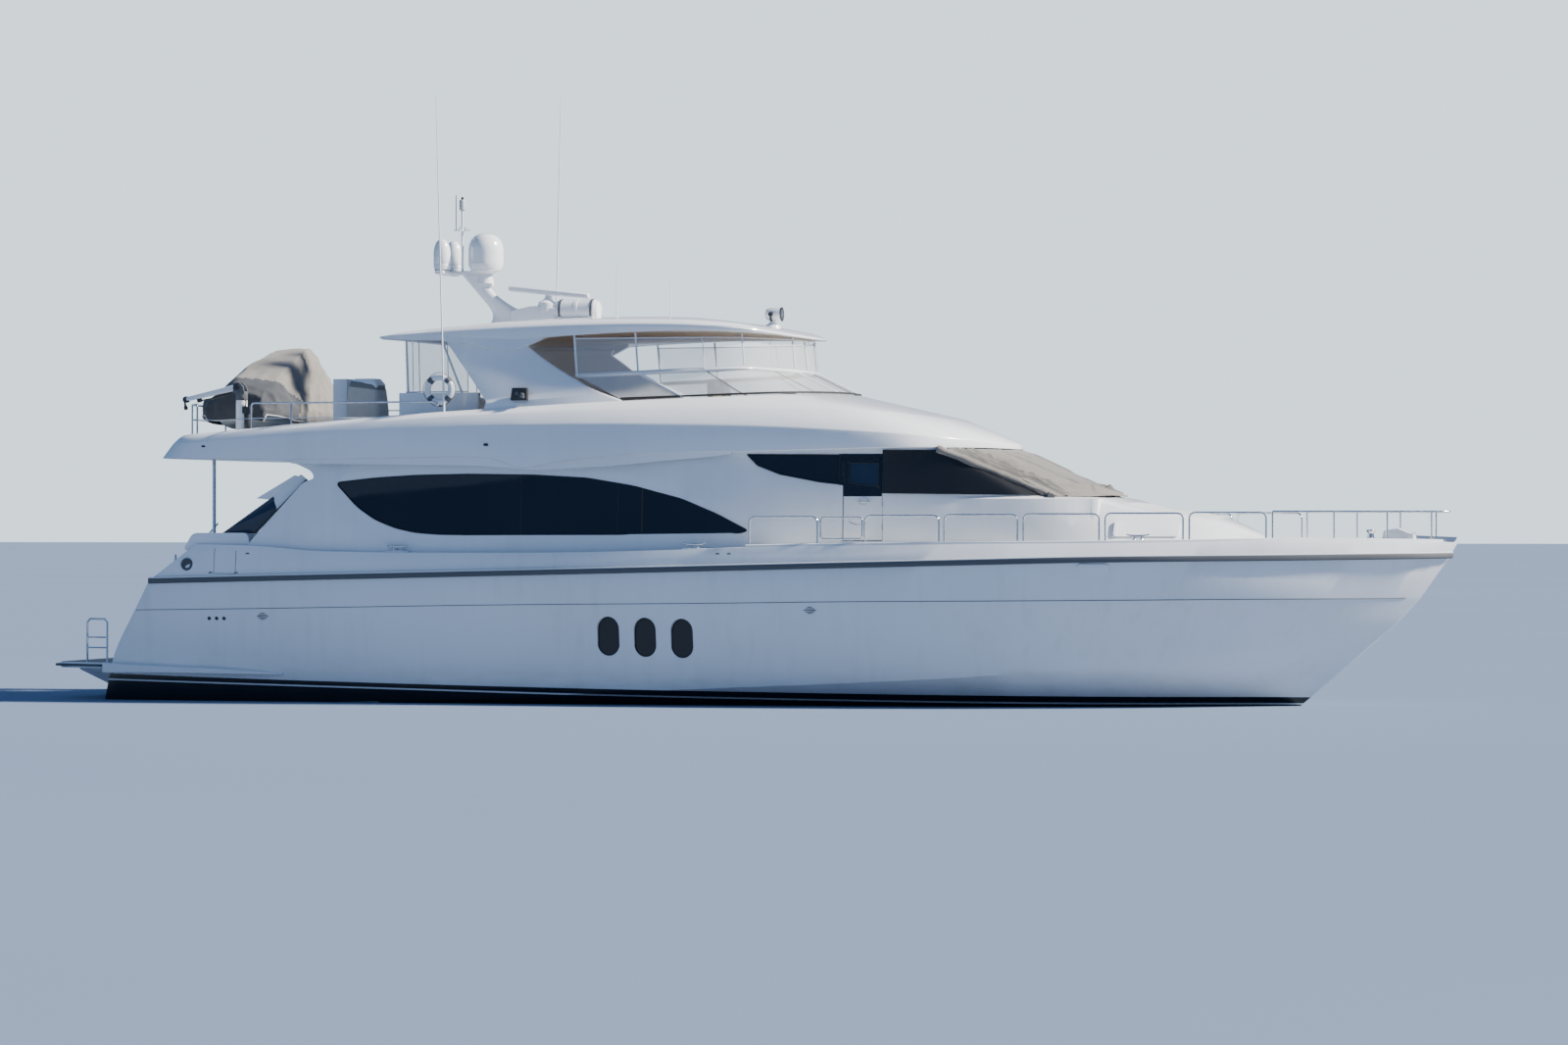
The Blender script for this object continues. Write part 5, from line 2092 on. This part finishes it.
def make_transom():
    body = "stern_door"
    adopt("transom_door", bevel=(0.01, 3, 40), body=body)
    handle = Shape()
    ring = arc((-10.075, 0, 1.35), 0.05, 0, 345, 24, ("y", "z"))
    handle.tube([p - Vector((0.055, 0, 0)) for p in ring], 0.006, 8, closed=True)
    handle.turned([(0.04, 0), (0.036, 0.01), (0.012, 0.014), (0.012, 0.05), (0, 0.052)], (-10.08, 0, 1.4),
                  (-1, 0, 0), 24)
    make("transom_handle", handle, "steel", "stainless", body)
    rails, lamps, gear = Shape(), Shape(), Shape()
    foot, head = Vector((-10.95, 1.60, 1.0)), Vector((-9.35, 1.60, 2.65))
    for share in (0.06, 0.5, 0.94):
        p = foot.lerp(head, share)
        rails.tube([p + Vector((0, 0, -0.2)), p + Vector((-0.03, 0.05, 0.42))], 0.015, 12)
    rails.tube([foot + Vector((0.05, 0.05, 0.45)), head + Vector((-0.05, 0.05, 0.42))], 0.017, 12)
    make("stern_stair_rails", rails.both_sides(), "steel", "stainless")
    for y, z in ((1.02, 1.55), (1.3, 1.55)):
        lamps.turned([(0.05, 0), (0.05, 0.012), (0.036, 0.02), (0, 0.022)], (-10.32, y, z), (-0.87, 0, 0.49),
                     24)
    make("stern_lamps", lamps.both_sides(), "lens", "glass")
    for x, y in ((-9.52, 2.02), (-9.46, 1.45)):
        drum = [(0.05, 0), (0.05, 0.02), (0.03, 0.04), (0.03, 0.13), (0.05, 0.15), (0.045, 0.17), (0, 0.172)]
        gear.turned(drum, (x, y, 2.66), sides=24)
    make("stern_capstans", gear.both_sides(), "steel", "stainless")


def make_aft_deck():
    adopt("aft_bulkhead", bevel=(0.008, 2, 40))
    adopt("saloon_door", ["steel"], bevel=(0.008, 2, 40), body="aft_sliding_door")
    panes = Shape()
    panes.block((-7.006, -0.41, 2.26), (-6.998, 0.41, 3.97))
    make("saloon_door_pane", panes, "blue_glass", "glass", "aft_sliding_door")
    grip = [(-7.002, 0.43, 2.95), (-7.05, 0.43, 2.95), (-7.05, 0.43, 3.3), (-7.002, 0.43, 3.3)]
    pull = Shape().tube(rounded(grip, 0.03, 5), 0.01, 10)
    make("saloon_door_pull", pull, "steel", "stainless", "aft_sliding_door")
    rims = Shape()
    window = [(-7.085, 0.65, 2.8), (-7.085, 2.35, 2.8), (-7.085, 2.35, 4.02), (-7.085, 0.65, 4.02)]
    rims.tube(rounded(window, 0.05, 5, True), 0.014, 8, closed=True)
    make("bulkhead_gaskets", rims.both_sides(), "black_rubber", "rubber")
    for side, hand in HANDS.items():
        def choose(centre, normal):
            return "steel" if abs(centre.x + 9.01) < 0.045 and centre.z > 2.91 else "white"

        adopt(f"wing_screen_{side}", ["white", "steel"], choose, (0.006, 2, 50))
        for name, finish, spots in (
                ("wing_glass", "blue_glass", [(-8.89, 2.9), (-8.27, 2.9), (-7.87, 3.29), (-7.95, 3.53)]),
                ("wing_leaf", "white", [(-7.86, 3.30), (-7.32, 3.82), (-7.44, 3.91), (-7.94, 3.54)])):
            skin = Shape().plate([(x, hand * 2.654, z) for x, z in spots], (0, hand * 0.05, 0))
            make(f"{name}_{side}", skin, finish, "glass", bevel=(0.004, 2, 40))
        edges = Shape()
        y = hand * 2.68
        for step in (-0.028, 0.028):
            line = [(-8.87, y + step, 2.905), (-8.28, y + step, 2.905), (-7.33, y + step, 3.82)]
            edges.tube(line, 0.012, 8)
        make(f"wing_gasket_{side}", edges, "black_rubber", "rubber")
        leaf = Shape().plate([(-8.26, y, 3.50), (-7.92, y, 3.47), (-7.40, y, 3.86), (-7.55, y, 3.90)],
                             (0, hand * 0.02, 0))
        make(f"wing_panel_{side}", leaf, "white", "gelcoat", bevel=(0.005, 2, 40))
    base = Shape().plate([(x, -1.4, z) for x, z in (
        (-9.35, 2.152), (-8.65, 2.152), (-8.65, 2.46), (-9.12, 2.46), (-9.22, 2.86), (-9.35, 2.86))],
        (0, 2.8, 0))
    make("aft_settee_base", base, "white", "gelcoat", replaces=["aft_settee"], bevel=(0.025, 3, 30))
    soft = Shape()
    for k in range(4):
        y = -1.39 + k * 0.697
        soft.joined(cushion((-9.1, y, 2.465), (-8.645, y + 0.685, 2.585)))
        back = cushion((-0.06, y, -0.19), (0.06, y + 0.685, 0.19), 0.0)
        soft.joined(back.moved(Matrix.Translation((-9.1, 0, 2.74)) @ Matrix.Rotation(-0.24, 4, "Y")))
    piece = make("aft_settee_cushions", soft, "cream", "upholstery", angle=60)
    table = Shape().turned([(0.26, 0), (0.26, 0.012), (0.06, 0.05), (0.05, 0.62), (0.12, 0.66), (0, 0.66)],
                           (-8.15, 0, 2.152), sides=32)
    make("aft_table_leg", table, "steel", "stainless")
    corners = [(-8.5, -0.7, 2.81), (-7.8, -0.7, 2.81), (-7.8, 0.7, 2.81), (-8.5, 0.7, 2.81)]
    top = rounded(corners, 0.12, 6, True)
    make("aft_table_top", Shape().grid([top, [p + Vector((0, 0, 0.035)) for p in top]]), "teak", "painted",
         bevel=(0.008, 2, 40))

    def choose_step(centre, normal):
        return "teak" if normal.z > 0.9 and 1.8 < centre.y < 2.4 else "steel"

    adopt("bridge_stair", ["steel", "teak"], choose_step, (0.005, 2, 50))
    rail = Shape()
    for y in (1.78, 2.42):
        rail.tube(fair([(-8.95, y, 2.95), (-8.4, y, 3.6), (-7.75, y, 4.4)], 4), 0.016, 12)
        for x, z in ((-8.9, 2.25), (-8.2, 3.2)):
            rail.tube([(x, y, z), (x, y, z + 0.72)], 0.013, 10)
    make("bridge_stair_rails", rail, "steel", "stainless")


def make_soffit_trim():
    """The second lip under the flybridge's edge, its scuppers and the hardtop's side brow."""
    lips, slots, brows = Shape(), Shape(), Shape()
    low = [(-7.5, 4.10), (-6.4, 4.085), (-5.2, 4.07), (-4.1, 4.045), (-3.1, 3.98), (-2.4, 4.005),
           (-1.7, 4.045), (-0.9, 4.12), (-0.2, 4.18), (0.30, 4.235)]
    line = fair([(x, 0, z) for x, z in low], 6)
    outer = []
    edge = BRIDGE_RINGS["lower"][3:14]
    for p in line:
        breadth = np.interp(p.x / MM, [row[0] for row in edge], [row[1] for row in edge]) * MM
        outer.append(Vector((p.x, breadth - 0.13, p.z)))
    section = vectors([(0, 0, 0), (0, -0.035, -0.004), (0, -0.05, 0.22), (0, 0.012, 0.22), (0, 0.008, 0.02)])
    lips.grid([[p + step for step in section] for p in outer])
    make("soffit_lips", lips.both_sides(), "white", "gelcoat", angle=40)
    for x, y, z in ((-9.09, 3.055, 4.40), (-3.9, 3.185, 4.40)):
        slots.tube([(x - 0.035, y - 0.012, z), (x + 0.035, y - 0.012, z)], 0.022, 12)
    make("overhang_scuppers", slots.both_sides(), "black_rubber", "rubber")
    dip = fair([(-4.93, 0, 6.185), (-4.4, 0, 6.13), (-3.76, 0, 6.02), (-3.45, 0, 6.08), (-3.1, 0, 6.235)], 6)
    rows = []
    for p in dip:
        y = 2.40 + (6.2 - p.z) * 0.42
        rows.append(vectors([(p.x, 2.33, 6.30), (p.x, 2.425, 6.30), (p.x, y + 0.035, p.z + 0.01),
                             (p.x, y + 0.02, p.z), (p.x, y - 0.1, p.z)]))
    brows.grid(rows)
    make("hardtop_brows", brows.both_sides(), "white", "gelcoat", angle=40)


# Running gear and engines
def make_running_gear():
    for side, hand in HANDS.items():
        adopt(f"shaft_strut_{side}", bevel=(0.01, 2, 40), angle=40)
        adopt(f"propeller_{side}", bevel=(0.004, 2, 35), body=f"{side}_propeller", angle=40)
        adopt(f"rudder_{side}", bevel=(0.006, 2, 40), body=f"{side}_rudder", angle=40)
        adopt(f"stabiliser_fin_{side}", bevel=(0.01, 2, 40), body=f"{side}_fin", angle=40)
        axis = Vector((0, hand * 0.57, -0.82)).normalized()
        boss = Shape().turned([(0.12, -0.22), (0.12, 0.0), (0.105, 0.012), (0.092, 0.02), (0, 0.02)],
                              Vector((-1.1, hand * 2.12, -0.33)) - axis * 0.012, axis, 40)
        make(f"fin_boss_{side}", boss, "white", "gelcoat")
        anode = Shape().turned([(0.05, 0), (0.045, 0.03), (0, 0.035)], (-8.2, hand * 1.15, -1.17),
                               (-1, 0, -0.16), 16)
        for x in (-9.3, -6.6):
            anode.block((x, hand * 1.75 - 0.05, -0.60), (x + 0.24, hand * 1.75 + 0.05, -0.40))
        make(f"anodes_{side}", anode, "hypalon", "painted", bevel=(0.01, 2, 40))


def make_engines():
    for side, hand in HANDS.items():
        y = hand * 1.2
        adopt(f"engine_{side}", bevel=(0.04, 3, 40))
        gear = Shape()
        for x in (-7.1, -6.6, -6.1):
            gear.block((x, y - 0.42, 0.98), (x + 0.34, y - 0.12, 1.06))
            gear.block((x, y + 0.12, 0.98), (x + 0.34, y + 0.42, 1.06))
        gear.tube(rounded([(-7.3, y, 1.08), (-6.0, y, 1.16), (-5.7, y, 0.9)], 0.2, 6), 0.075, 20)
        gear.turned([(0.17, 0), (0.2, 0.05), (0.2, 0.13), (0.12, 0.18), (0, 0.18)], (-5.5, y, 0.35),
                    (1, 0, 0), 32)
        make(f"engine_covers_{side}", gear, "engine_paint", "engine", bevel=(0.012, 2, 40))


def make_saloon():
    """The saloon's sofas and table, seen through the windows and the aft door."""
    wood, soft = Shape(), Shape()
    for hand in HANDS.values():
        y0, y1 = sorted((hand * 1.55, hand * 2.4))
        wood.block((-6.4, y0, 2.16), (-3.4, y1, 2.42))
        for k in range(4):
            x = -6.39 + k * 0.75
            soft.joined(cushion((x, y0 + 0.02, 2.42), (x + 0.73, y1 - 0.05, 2.56)))
            a, b = sorted((hand * 2.22, hand * 2.4))
            soft.joined(cushion((x, a, 2.5), (x + 0.73, b, 2.92), 0.0))
    wood.block((-5.4, -0.55, 2.50), (-4.3, 0.55, 2.55))
    wood.block((-4.95, -0.08, 2.152), (-4.75, 0.08, 2.52))
    wood.block((-2.4, -2.4, 2.152), (-0.6, -1.75, 3.05))
    wood.block((-2.4, 1.75, 2.152), (-0.6, 2.4, 3.05))
    make("saloon_woodwork", wood, "teak", "painted", bevel=(0.012, 2, 40))
    piece = make("saloon_cushions", soft, "cream", "upholstery", angle=60)


make_camera()
make_studio()
make_floor()
dress_nodes()
for make_pieces in (
        make_hull, make_hull_fittings, make_rub_rail, make_flybridge, make_hardtop, make_deckhouse,
        make_curtains, make_doors, make_trunk, make_bridge_deck, make_rails, make_deck_fittings,
        make_windshield_cover, make_arches, make_bridge_screen, make_bridge_curtains, make_helm,
        make_mast, make_radars, make_life_raft, make_aerials, make_boat_rail, make_davit, make_tender,
        make_tender_cover, make_deck_locker, make_platform, make_transom, make_aft_deck, make_soffit_trim,
        make_running_gear, make_engines, make_saloon):
    make_pieces()
